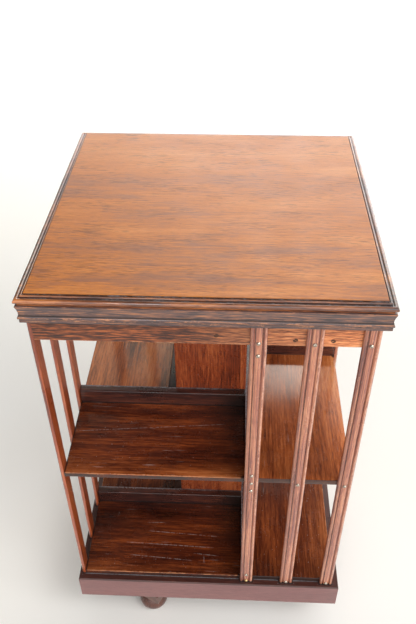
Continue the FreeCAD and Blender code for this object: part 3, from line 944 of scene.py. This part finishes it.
def shank(length):
    """Plain shank with a point, closed at both ends."""
    profile = np.array([
        [0.1 * MM, -length, 0, -1, 0],
        [SCREW_RADIUS, POINT_LENGTH - length, 1, 0, 0],
        [SCREW_RADIUS, SHANK_TOP, 1, 0, 0],
        [SCREW_RADIUS * 0.9, SHANK_TOP, 0, 1, 0],
    ])
    return turned(profile, 8)


def driven(form, x, out, level, spin):
    """Upright screw turned about itself, laid flat and driven into the front side."""
    laid = np.array([[1, 0, 0], [0, 0, -1], [0, 1, 0]])
    return form.moved(laid @ spun(spin), (x, -out, level))


def driven_all_round(form, spots, out, rng):
    """The same screw at each spot of all four sides, with its slot left at any angle."""
    return [
        driven(form, x, out, level, rng.uniform(0, math.pi)).on_side(side)
        for x, level in spots
        for side in range(4)
    ]


domed = joined([slotted_head(SCREW_HEAD_RADIUS, SCREW_HEAD_HEIGHT), shank(SCREW_LENGTH)])
flush = joined([slotted_head(COUNTERSUNK_RADIUS, COUNTERSUNK_HEIGHT), shank(COUNTERSUNK_LENGTH)])
slat_spots = [(slat_places[name], level) for name, levels in screw_levels.items() for level in levels]
frieze_spots = [
    (15 * MM, ceiling_low + 15 * MM),
    (118 * MM, ceiling_low + 10 * MM),
    (167 * MM, ceiling_low + 10 * MM),
]
slat_screws = driven_all_round(domed, slat_spots, slat_face, rng)
frieze_screws = driven_all_round(flush, frieze_spots, case_half - COUNTERSUNK_DEPTH, rng)
piece("domed_brass_screw", slat_screws[0], "brass_slat_screw", weld=1e-6)
piece("domed_steel_screws", joined(slat_screws[1:]), "slat_screws", weld=1e-6)
piece("flush_frieze_screws", joined(frieze_screws), "frieze_screws", weld=1e-6)
print("slat screws:", len(slat_screws), "frieze screws:", len(frieze_screws))

# %% [markdown]
# ## Shader maths
#
# A wood finish is mostly arithmetic on noise. Node trees built by hand hide that arithmetic, so a
# small class wraps an output socket and turns Python's own operators into Math nodes. Every other
# node comes from one method that takes its type, its sockets and its settings.

# %% Wires and finishes
TONE_PLACES = (0.12, 0.5, 0.92)


class Wire:
    """A number that changes over the surface. Arithmetic on it adds Math nodes."""

    def __init__(self, finish, socket):
        self.finish = finish
        self.socket = socket

    def __add__(self, other):
        return self.finish.maths("ADD", self, other)

    def __sub__(self, other):
        return self.finish.maths("SUBTRACT", self, other)

    def __rsub__(self, other):
        return self.finish.maths("SUBTRACT", other, self)

    def __mul__(self, other):
        return self.finish.maths("MULTIPLY", self, other)

    def size(self):
        """The number without its sign."""
        return self.finish.maths("ABSOLUTE", self)

    def kept(self):
        """The number, kept between 0 and 1."""
        return self.finish.maths("ADD", self, 0.0, clamp=True)

    __radd__ = __add__
    __rmul__ = __mul__


class Finish:
    """The nodes of a material or of the world."""

    def __init__(self, owner):
        owner.use_nodes = True
        self.owner = owner
        self.tree = owner.node_tree
        self.tree.nodes.clear()

    def node(self, kind, inputs=None, output=0, **settings):
        """Adds one node: its type, the values or links of its sockets, and its settings."""
        made_node = self.tree.nodes.new("ShaderNode" + kind)
        for name, value in settings.items():
            setattr(made_node, name, value)
        for name, value in (inputs or {}).items():
            if isinstance(value, Wire):
                self.tree.links.new(value.socket, made_node.inputs[name])
            else:
                made_node.inputs[name].default_value = value
        return Wire(self, made_node.outputs[output])

    def maths(self, operation, *values, clamp=False):
        """One step of arithmetic on wires and numbers."""
        return self.node("Math", dict(enumerate(values)), operation=operation, use_clamp=clamp)

    def mark(self, name):
        """One of the marks that the form carries."""
        return self.node("Attribute", output=2, attribute_name=name)

    def place(self):
        """Object coordinates."""
        return self.node("TexCoord", output=3)

    def axis(self, place, number):
        """One coordinate of a place."""
        return self.node("SeparateXYZ", {0: place}, number)

    def shifted(self, amount, by, place):
        """Place moved by an amount times a vector."""
        return self.node("VectorMath", {0: amount, 1: by, 2: place}, operation="MULTIPLY_ADD")

    def noise(self, place, along, across, detail=2.0, roughness=0.5, output=0):
        """Noise drawn out along the grain, from repeats per metre along and across it."""
        scaled = self.node("VectorMath", {0: place, 1: (along, across, across)}, operation="MULTIPLY")
        inputs = {"Vector": scaled, "Scale": 1.0, "Detail": detail, "Roughness": roughness}
        return self.node("TexNoise", inputs, output)

    def blend(self, mask, under, over):
        """One colour laid over another where the mask says."""
        return self.node("Mix", {0: mask, 6: under, 7: over}, 2, data_type="RGBA")

    def ramp(self, tone, colours, places=TONE_PLACES):
        """Three colours of wood, at the places that its darkest, middle and palest figure reach."""
        ramp = self.node("ValToRGB", {0: tone})
        elements = ramp.socket.node.color_ramp.elements
        elements.new(1.0)
        for element, place, shade in zip(elements, places, colours):
            element.position = place
            element.color = colour(*shade)
        return ramp

    def bump(self, strength, depth, height):
        """Fine relief, whose depth is in millimetres."""
        return self.node("Bump", {"Strength": strength, "Distance": depth * MM, "Height": height})

    def ended(self, kind, shader):
        """Joins the last shader to the output, and gives back what the nodes belong to."""
        end = self.tree.nodes.new("ShaderNode" + kind)
        self.tree.links.new(shader.socket, end.inputs["Surface"])
        return self.owner

    def surface(self, **sockets):
        """Principled surface, with spaces in socket names written as underscores."""
        inputs = {name.replace("_", " "): value for name, value in sockets.items()}
        return self.ended("OutputMaterial", self.node("BsdfPrincipled", inputs))


def new_finish(name):
    """Finish of a new material."""
    return Finish(bpy.data.materials.new(name))


def colour(red, green, blue):
    """Colour for a socket."""
    return (red, green, blue, 1.0)


print("tones of a wood lie at", TONE_PLACES)

# %% [markdown]
# ## Mahogany
#
# Cut along the grain, mahogany shows broad soft bands, fine streaks, and countless dark dashes where
# its pores were sliced open. Image textures would repeat and stretch. Noise that is stretched along
# the plank's own axes never repeats and shows true end grain. The same recipe serves every piece.
# Each has three tones for wood that has kept its colour, and most have three more for where daylight
# has faded it, because a top in the light turns orange and a shelf in the dark stays red. The faded
# tones also paint where more light falls, and on the plinth a sheen. The top is glued up from two
# boards, so its figure changes at the joint.

# %% The figure of bare wood
JOINT_PLACE = 76 * MM
JOINT_SHADE_START = 18 * MM
OTHER_BOARD = (3.1, 2.7, 1.9)


def figure(finish, place, shares, streak_size, wave):
    """Swaying place, streaks, fibres and tone of bare wood.

    Each noise is taken about its middle: tone = 0.5 + the sum of share * (noise - 0.5)."""
    sway = finish.noise(place, 3.0, 8.0, output=1)
    drawn = finish.shifted(sway, (0.0, wave * MM, wave * MM), place)
    band = finish.noise(drawn, 5.0, 26.0, 2.0)
    streak = finish.noise(drawn, 1000 / streak_size[0], 1000 / streak_size[1], 3.0, 0.6)
    fibre = finish.noise(drawn, 70.0, 900.0, 2.0)
    bands, streaks, fibres = shares
    tone = 0.5 + (band - 0.5) * bands + (streak - 0.5) * streaks + (fibre - 0.5) * fibres
    return drawn, streak, fibre, tone


def toned_at_joint(tone, across, behind, joint):
    """Tone of two boards glued together: the back one paler, the front one dark along the joint."""
    to_front = ((joint - across) * 3.6).kept()
    before = across - (joint - JOINT_SHADE_START)
    shaded = (1.0 - before.size() * 30.0).kept()
    return 0.5 + (tone - 0.5) * (0.8 + to_front * 0.7) + behind * 0.12 - shaded * 0.22


def pores(finish, drawn):
    """Dark dashes where long pores were sliced open, in crowds, and the fine pores between them."""
    sliced = finish.noise(drawn, 60.0, 620.0, 1.0)
    crowd = finish.noise(drawn, 12.0, 45.0, 1.0)
    fine = finish.noise(drawn, 190.0, 3600.0, 1.0)
    return ((sliced + crowd * 0.5 - 0.84) * 9.0).kept(), ((fine - 0.56) * 9.0).kept()


print("the top is glued up", JOINT_PLACE, "m behind the axis")

# %% [markdown]
# ## Marks of use
#
# Over the wood lie the marks of use. Each mark is broken up by noise, so that wear comes in patches
# and dust in specks. Books have scored the boards, in fine rubs and in a few long scratches, and
# the inner ends are darkened by painted shade. Wear also lays painted highlights, wax also paints the
# shade in corners, and dust also paints a sheen in the quirks of the top. The long scratches could
# be cut into the mesh, but they are thinner than its faces, so each is a line drawn by the material.

# %% Marks of use
# Tone of worn arrises, which also paints highlights on the front arris of the boards.
WORN_TONE = colour(0.52, 0.22, 0.10)
# Tone of wax, which also paints the shade in corners and under parts.
WAX_TONE = colour(0.020, 0.013, 0.013)
# Tone of dust, which also paints a sheen in the quirks of the top.
DUST_TONE = colour(0.26, 0.255, 0.27)
# Tone of painted shade.
SMOKE_TONE = colour(0.006, 0.004, 0.003)
SPECK_TONE = colour(0.50, 0.46, 0.42)
SCRATCH_TONE = colour(0.46, 0.40, 0.39)
SCRATCH_FADE = 12 * MM
LEVEL_SLACK = 1.5 * MM
BOARD_SCORES = [
    ((-227, -141), (28, -117), shelf_high, 0.7),
    ((-150, -192), (-30, -200), bottom_high, 1.0),
    ((-160, -166), (10, -172), bottom_high, 1.1),
    ((-120, -140), (20, -148), bottom_high, 1.0),
    ((-125, -122), (-85, -120), bottom_high, 1.2),
    ((-30, -185), (20, -189), bottom_high, 1.0),
    ((-8, -206), (-10, -186), bottom_high, 1.6),
    ((-183, -108), (-181, -98), bottom_high, 1.6),
]


def patchy(mark, patches, sharp=5.0):
    """Mark broken into patches: full where it is 1, none where it is 0, spotted between."""
    return ((mark + patches - 1.0) * sharp + 0.5).kept()


def score(finish, start, end, level, width):
    """Thin straight scratch, from its ends and width in millimetres and the level of its board.

    Along it u = (p - a) . d, across it v = (p - a) . n, and it shows where |v| is within its width."""
    place = finish.place()
    start, end = np.array(start) * MM, np.array(end) * MM
    run = end - start
    length = np.hypot(*run)
    dots = []
    for axis in (run / length, np.array([-run[1], run[0]]) / length):
        along = finish.node("VectorMath", {0: place, 1: (*axis, 0.0)}, 1, operation="DOT_PRODUCT")
        dots.append(along - float(start @ axis))
    off_middle = (dots[0] - length / 2).size()
    within = ((length / 2 - off_middle) * (1 / SCRATCH_FADE)).kept()
    thin = (1.0 - dots[1].size() * (1 / (width * MM))).kept()
    at_level = finish.maths("COMPARE", finish.axis(place, 2), level, LEVEL_SLACK)
    return thin * within * at_level


def scratched(finish, place, grit, cloud, rubbed):
    """Fine rubs along the grain, thickest where books slide, and the long scratches."""
    rubs = (finish.noise(place, 24.0, 420.0, 1.0) - 0.70) * 12.0
    scuffs = finish.mark("dust") * 0.9 + rubbed
    scratch = (rubs.kept() * ((cloud - 0.46) * 6.0).kept() * scuffs).kept()
    for line in BOARD_SCORES:
        scratch = (scratch + score(finish, *line) * ((grit - 0.38) * 5.0).kept() * 0.7).kept()
    return scratch


print("long scratches on the boards:", len(BOARD_SCORES))

# %% [markdown]
# ## The whole recipe
#
# The bare wood comes first, then its pores, then the marks of use, each laid over what is under it.
# Shellac polish is a thin clear coat, which wear and dust take away. The cross arms could have
# their own recipe, but it would be this one without the marks, so their grain is turned instead.

# %% The mahogany recipe
def mahogany(
        name, tones, faded=None, bands=1.0, streaks=1.0, fibres=0.6, dashes=0.4, scratches=0.0, specks=0.0,
        gloss=0.36, sheen=0.5, coat=0.15, coat_rough=0.22, coat_ior=1.5, dulled=0.0, worn_tone=WORN_TONE,
        streak_size=(38, 6), wave=10, turn=None, joint=None):
    """Polished mahogany in three tones, and three more where it is faded, which also paint where more light
    falls.

    Streaks have a length and a width, and the grain sways by a wave, all in millimetres. Fading may
    also have dulled the clear coat. With a turn the recipe reads object places instead of the plank's,
    and no marks of use. A joint is where two boards are glued."""
    finish = new_finish(name)
    objects = finish.place()
    if turn is None:
        place = finish.node("Attribute", output=1, attribute_name="grain")
    else:
        place = finish.node("Mapping", {"Vector": objects, "Rotation": (0.0, 0.0, turn)})
    if joint is not None:
        across = finish.axis(objects, 1)
        behind = finish.maths("GREATER_THAN", across, joint)
        place = finish.shifted(behind, OTHER_BOARD, place)
    drawn, streak, fibre, tone = figure(finish, place, (bands, streaks, fibres), streak_size, wave)
    if joint is not None:
        tone = toned_at_joint(tone, across, behind, joint)
    wood = finish.ramp(tone.kept(), tones)
    if faded:
        # The faded tones, which also paint where more light falls.
        fade = finish.mark("fade")
        wood = finish.blend(fade, wood, finish.ramp(tone.kept(), faded))
        coat = coat - fade * (coat * dulled)

    dash, pore = pores(finish, drawn)
    pore_tone = colour(*(0.5 * part for part in tones[0]))
    wood = finish.blend((dash * dashes + pore * 0.2).kept() * 0.75, wood, pore_tone)

    grit = finish.noise(place, 260.0, 260.0, 3.0, 0.6)
    cloud = finish.noise(place, 26.0, 26.0, 3.0)
    rough = gloss + (cloud - 0.5) * 0.25 + (grit - 0.5) * 0.10
    height = fibre * 0.35 - dash * 0.4 - pore * 0.3
    if scratches:
        scratch = scratched(finish, place, grit, cloud, scratches)
        wood = finish.blend(scratch, wood, SCRATCH_TONE)
        rough = rough + scratch * 0.3
        height = height - scratch * 0.3
    if specks:
        spotted = finish.noise(place, 420.0, 420.0, 0.0) - 0.84 + finish.mark("dust") * 0.09
        wood = finish.blend((spotted * 25.0).kept() * specks, wood, SPECK_TONE)
    if turn is None:
        nicks = finish.noise(place, 45.0, 300.0, 3.0, 0.65)
        patches = grit * 0.3 + nicks * 0.7
        # Worn patches, which also lay painted highlights.
        worn = patchy(finish.mark("wear") * 0.52, (patches - 0.5) * 1.8 + 0.5)
        # Wax, which also lays painted shade in corners.
        waxed = patchy(finish.mark("grime") * 0.85, (cloud + grit) * 0.3 + streak * 0.4, 6.0)
        # Dust, which in the quirks of the top also lays a painted sheen.
        dusty = patchy(finish.mark("dust") * 0.8, grit * 0.5 + cloud * 0.3)
        wood = finish.blend(worn * 0.8, wood, worn_tone)
        wood = finish.blend(waxed * 0.85, wood, WAX_TONE)
        wood = finish.blend(dusty * 0.7, wood, DUST_TONE)
        # Painted shade.
        wood = finish.blend(finish.mark("shade") * 0.85, wood, SMOKE_TONE)
        rough = rough + waxed * 0.12 + dusty * 0.4
        height = height + dusty * 0.3 + waxed * 0.3
        coat = (1.0 - (worn + dusty).kept()) * coat
    return finish.surface(
        Base_Color=wood, Roughness=rough.kept(), Normal=finish.bump(0.35, 0.25, height),
        Coat_Weight=coat, Coat_Roughness=coat_rough, Coat_IOR=coat_ior, Specular_IOR_Level=sheen)


woods = {
    "top_wood": mahogany(
        "faded_top_mahogany", ((0.030, 0.010, 0.008), (0.205, 0.056, 0.016), (0.56, 0.19, 0.050)),
        ((0.31, 0.108, 0.042), (0.535, 0.160, 0.017), (0.665, 0.24, 0.045)), bands=1.05, streaks=0.75,
        dashes=0.5, sheen=0.40, coat=0.8, coat_rough=0.08, coat_ior=1.7, dulled=1.0,
        streak_size=(60, 4.5), joint=JOINT_PLACE),
    "moulding_wood": mahogany(
        "dark_moulding_mahogany", ((0.020, 0.012, 0.013), (0.10, 0.052, 0.050), (0.50, 0.19, 0.07)),
        bands=0.4, streaks=1.9, coat=0.6, coat_rough=0.10, coat_ior=1.6, streak_size=(34, 1.5), wave=1),
    "frieze_wood": mahogany(
        "streaked_frieze_mahogany", ((0.022, 0.008, 0.006), (0.080, 0.021, 0.010), (0.42, 0.11, 0.028)),
        ((0.16, 0.038, 0.014), (0.74, 0.235, 0.080), (0.94, 0.44, 0.18)), bands=0.6, streaks=2.2,
        streak_size=(22, 1.7), wave=2),
    # The slats' pale pink wear tone also paints the highlight on the right reed.
    "slat_wood": mahogany(
        "reeded_slat_mahogany", ((0.13, 0.020, 0.006), (0.36, 0.068, 0.018), (0.52, 0.145, 0.042)),
        ((0.12, 0.038, 0.040), (0.43, 0.145, 0.084), (0.70, 0.32, 0.17)), bands=0.9, streaks=1.6,
        fibres=0.5, gloss=0.32, coat=0.6, coat_rough=0.14, coat_ior=1.6,
        worn_tone=colour(0.66, 0.37, 0.26), streak_size=(110, 1.8), wave=1),
    "board_wood": mahogany(
        "red_shelf_mahogany", ((0.022, 0.004, 0.003), (0.105, 0.020, 0.007), (0.36, 0.080, 0.018)),
        ((0.15, 0.020, 0.003), (0.64, 0.165, 0.036), (0.84, 0.34, 0.12)), bands=1.2, scratches=0.4,
        specks=0.4, gloss=0.26, sheen=0.2, coat=0.6, coat_rough=0.12, streak_size=(60, 3.6), wave=6),
    "column_wood": mahogany(
        "red_column_mahogany", ((0.08, 0.013, 0.004), (0.26, 0.046, 0.012), (0.52, 0.14, 0.040)),
        streaks=1.2, fibres=0.9, specks=0.3, gloss=0.28, streak_size=(60, 2.6), wave=5),
    "stop_wood": mahogany(
        "dark_stop_mahogany", ((0.016, 0.005, 0.004), (0.052, 0.014, 0.010), (0.16, 0.042, 0.020)),
        streaks=1.5, specks=0.6, gloss=0.3, streak_size=(30, 2), wave=2),
    # The mauve faded tones of the plinth paint the sheen that its face shows of the pale floor.
    "plinth_wood": mahogany(
        "satin_plinth_mahogany", ((0.020, 0.006, 0.005), (0.062, 0.018, 0.013), (0.16, 0.045, 0.028)),
        ((0.15, 0.066, 0.062), (0.225, 0.100, 0.095), (0.31, 0.145, 0.13)), bands=0.5, streaks=0.6,
        dashes=0.15, gloss=0.40, coat=0.4, dulled=0.8, streak_size=(26, 1.8), wave=2),
    "base_wood": mahogany(
        "turned_foot_mahogany", ((0.04, 0.015, 0.012), (0.10, 0.036, 0.026), (0.20, 0.08, 0.05)),
        streaks=0.5, gloss=0.3),
}
CROSS_TURN = math.radians(-28)
arm_tones = (0.05, 0.02, 0.014), (0.13, 0.05, 0.032), (0.24, 0.10, 0.06)
arm_turns = {"cross_arm_lower": -CROSS_TURN - math.pi / 2, "cross_arm_upper": -CROSS_TURN}
arm_woods = {
    node: mahogany(node + "_hardwood", arm_tones, coat=0.1, turn=turn) for node, turn in arm_turns.items()
}
print("mahogany finishes:", len(woods) + len(arm_woods))

# %% [markdown]
# ## Softwood and metals
#
# Blocks and the bearing board are bare softwood that nobody sees. The screws are turned steel,
# rubbed bright on top and dark in the slot, where dirt and painted shade lie, one of them brass, and
# those in the frieze have gone nearly black. The pivot is forged iron.

# %% Softwood and metals
def softwood():
    """Bare, slightly dusty softwood with soft growth lines."""
    finish = new_finish("bare_softwood")
    place = finish.place()
    rings = finish.noise(place, 4.0, 120.0, 3.0)
    patches = finish.noise(place, 30.0, 30.0, 3.0)
    colours = (0.40, 0.25, 0.12), (0.55, 0.38, 0.21), (0.66, 0.49, 0.29)
    wood = finish.ramp(rings, colours, (0.25, 0.5, 0.75))
    wood = finish.blend(((patches - 0.5) * 2.0).kept(), wood, colour(0.25, 0.17, 0.10))
    rough = 0.7 + (patches - 0.5) * 0.3
    return finish.surface(Base_Color=wood, Roughness=rough, Normal=finish.bump(0.4, 0.3, rings))


def metal(name, bright, dull, rough, dirt=0.7):
    """Metal with dull patches, fine turning marks, and dirt and painted shade where the form is marked."""
    finish = new_finish(name)
    place = finish.place()
    patches = finish.noise(place, 420.0, 420.0, 3.0)
    marks = finish.noise(place, 2600.0, 2600.0, 2.0)
    stain = ((patches - 0.48) * 5.0).kept()
    shade = finish.blend(stain * 0.6, colour(*bright), colour(*dull))
    grime = finish.mark("grime") * dirt
    # Where the form is marked, dirt and painted shade darken the metal.
    shade = finish.blend(grime, shade, WAX_TONE)
    rough = (rough + stain * 0.15 + grime * 0.3).kept()
    bump = finish.bump(0.25, 0.05, marks)
    return finish.surface(Base_Color=shade, Metallic=1.0 - grime, Roughness=rough, Normal=bump)


others = {
    "softwood": softwood(),
    "iron": metal("forged_iron", (0.16, 0.15, 0.14), (0.07, 0.05, 0.04), 0.5, 0.0),
    "steel": metal("rubbed_steel", (0.62, 0.54, 0.45), (0.25, 0.20, 0.16), 0.26),
    "brass": metal("rubbed_brass", (0.75, 0.55, 0.25), (0.40, 0.27, 0.12), 0.25),
    "dark_steel": metal("blackened_steel", (0.13, 0.075, 0.055), (0.07, 0.035, 0.025), 0.5),
}
finishes = {**woods, **others}
for obj in made:
    obj.data.materials.append(finishes[obj["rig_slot"]])
replaced = {node for obj in made for node in obj["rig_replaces"]}
hidden_wood = mahogany("plain_hardwood", arm_tones, coat=0.0, turn=0.0)
for node, obj in frame["nodes"].items():
    if node not in replaced:
        obj.data.materials.clear()
        obj.data.materials.append(arm_woods.get(node) or others.get(slot_of[node]) or hidden_wood)
print("CAD nodes still shown:", sorted(set(frame["nodes"]) - replaced))

# %% [markdown]
# ## Light and floor
#
# Polished wood shows what it reflects, so the light matters as much as the finish. A ball of even
# light would be simpler, but then every side would look alike. Here a bright room lies in front and
# fills the shadows, a window at the front right draws the line on every reed, and a small one at
# the front left does the same for the lip of the top. A pale wall far behind, with a window high in
# it to the right, lays a soft sheen over the far side of the top. Three panes above them shine in
# the shelves, between the bars that the slats make in them. The floor ends under the pale wall, and
# past it the camera sees plain paper.

# %% Windows, wall and panes
LIGHTS = {
    "window_front_right": ((1.7, -1.3, 2.5), (0, 0, 0.6), (1.6, 1.2), 33, (1, 1, 1)),
    "window_front_left": ((-0.5, -3.05, 2.15), (0, 0, 0.8), (0.36, 0.5), 7, (1, 0.97, 1)),
    "wall_behind": ((0.61, 4.55, 1.68), (0, 0, 0.8), (6.3, 2.1), 168, (1, 1, 1)),
    "window_behind_right": ((1.49, 4.55, 3.61), (0, 0, 0.8), (4.9, 1.58), 63, (1, 1, 1)),
    "pane_high_behind": ((0.36, 4.09, 4.24), (0, 0, 0.43), (1.0, 0.48), 12, (1, 0.95, 0.84)),
    "pane_high_right": ((1.13, 3.95, 4.34), (0, 0, 0.43), (1.4, 0.9), 11, (1, 0.97, 0.88)),
    "shaded_pane_behind": ((-0.98, 4.0, 4.10), (0, 0, 0.43), (1.9, 0.74), 8, (0.95, 1, 0.8)),
}


def area_light(name, place, aim, size, power, tint):
    """Soft rectangular light that looks at a point."""
    data = bpy.data.lights.new(name, "AREA")
    data.shape = "RECTANGLE"
    data.size, data.size_y = size
    data.energy = power
    data.color = tint
    lamp = linked(name, data)
    lamp.location = place
    lamp.rotation_euler = (Vector(aim) - lamp.location).to_track_quat("-Z", "Y").to_euler()
    lamp.visible_camera = False


for name, light in LIGHTS.items():
    area_light(name, *light)
print("area lights:", len(LIGHTS))

# %% Room and floor
ROOM_TOWARD = (0.85, -2.0, 0.05)
ROOM_DIMMEST = 0.03
PAPER_GLOW = 0.95
FLOOR_HALF = 12.0
FLOOR_END = 4.5


def room():
    """Bright on one side: strength = max(dimmest, toward . direction), a soft half of a sphere.

    The camera itself sees plain paper past the end of the floor, whichever way it looks."""
    finish = Finish(bpy.data.worlds.new("bright_room"))
    toward = {0: finish.node("TexCoord"), 1: ROOM_TOWARD}
    facing = finish.node("VectorMath", toward, 1, operation="DOT_PRODUCT")
    glow = finish.maths("MAXIMUM", facing, ROOM_DIMMEST)
    strength = finish.node("Mix", {0: finish.node("LightPath"), 2: glow, 3: PAPER_GLOW})
    light = finish.node("Background", {"Color": colour(1.0, 0.995, 0.985), "Strength": strength})
    bpy.context.scene.world = finish.ended("OutputWorld", light)


def floor():
    """Wide pale floor with the faintest cloudiness."""
    finish = new_finish("pale_floor")
    clouds = finish.noise(finish.place(), 1.3, 1.3, 3.0)
    shade = finish.blend(clouds, colour(0.93, 0.89, 0.81), colour(0.93, 0.925, 0.91))
    material = finish.surface(Base_Color=shade, Roughness=0.75 + (clouds - 0.5) * 0.1)
    mesh = bpy.data.meshes.new("pale_floor")
    left, right, near_end, far_end = -FLOOR_HALF, FLOOR_HALF, -FLOOR_HALF, FLOOR_END
    corners = [(left, near_end, 0), (right, near_end, 0), (right, far_end, 0), (left, far_end, 0)]
    mesh.from_pydata(corners, [], [(0, 1, 2, 3)])
    mesh.materials.append(material)
    linked("pale_floor", mesh)


bpy.context.scene.view_settings.view_transform = "Standard"
room()
floor()
print("the floor is", 2 * FLOOR_HALF, "m wide")

# %% [markdown]
# ## Camera
#
# The eye is that of someone who stands close in front of the bookcase and looks down at it, so that
# the top shows its figure and each level shows its boards. An empty to track could aim it, but three
# angles also say how it is rolled.

# %% Camera
CAMERA_PLACE = (0.03736, -0.90180, 1.32904)
CAMERA_YAW = -0.0487
CAMERA_PITCH = 0.6916
CAMERA_ROLL = -0.0088
CAMERA_LENS = 40.025


def camera():
    """Camera that looks ahead, is pitched down, turned by its yaw, and rolled about its own axis."""
    data = bpy.data.cameras.new("camera")
    data.lens = CAMERA_LENS
    obj = linked("camera", data)
    aimed = Matrix.Rotation(-CAMERA_YAW, 4, "Z") @ Matrix.Rotation(math.pi / 2 - CAMERA_PITCH, 4, "X")
    obj.matrix_world = Matrix.Translation(CAMERA_PLACE) @ aimed @ Matrix.Rotation(CAMERA_ROLL, 4, "Z")
    bpy.context.scene.camera = obj


camera()
print("camera stands", round(math.hypot(*CAMERA_PLACE[:2]), 2), "m from the axis")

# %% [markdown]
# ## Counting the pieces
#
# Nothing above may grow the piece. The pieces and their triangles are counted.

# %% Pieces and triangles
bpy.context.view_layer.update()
triangles = sum(len(face.vertices) - 2 for obj in made for face in obj.data.polygons)
print("pieces:", len(made), "triangles:", triangles)
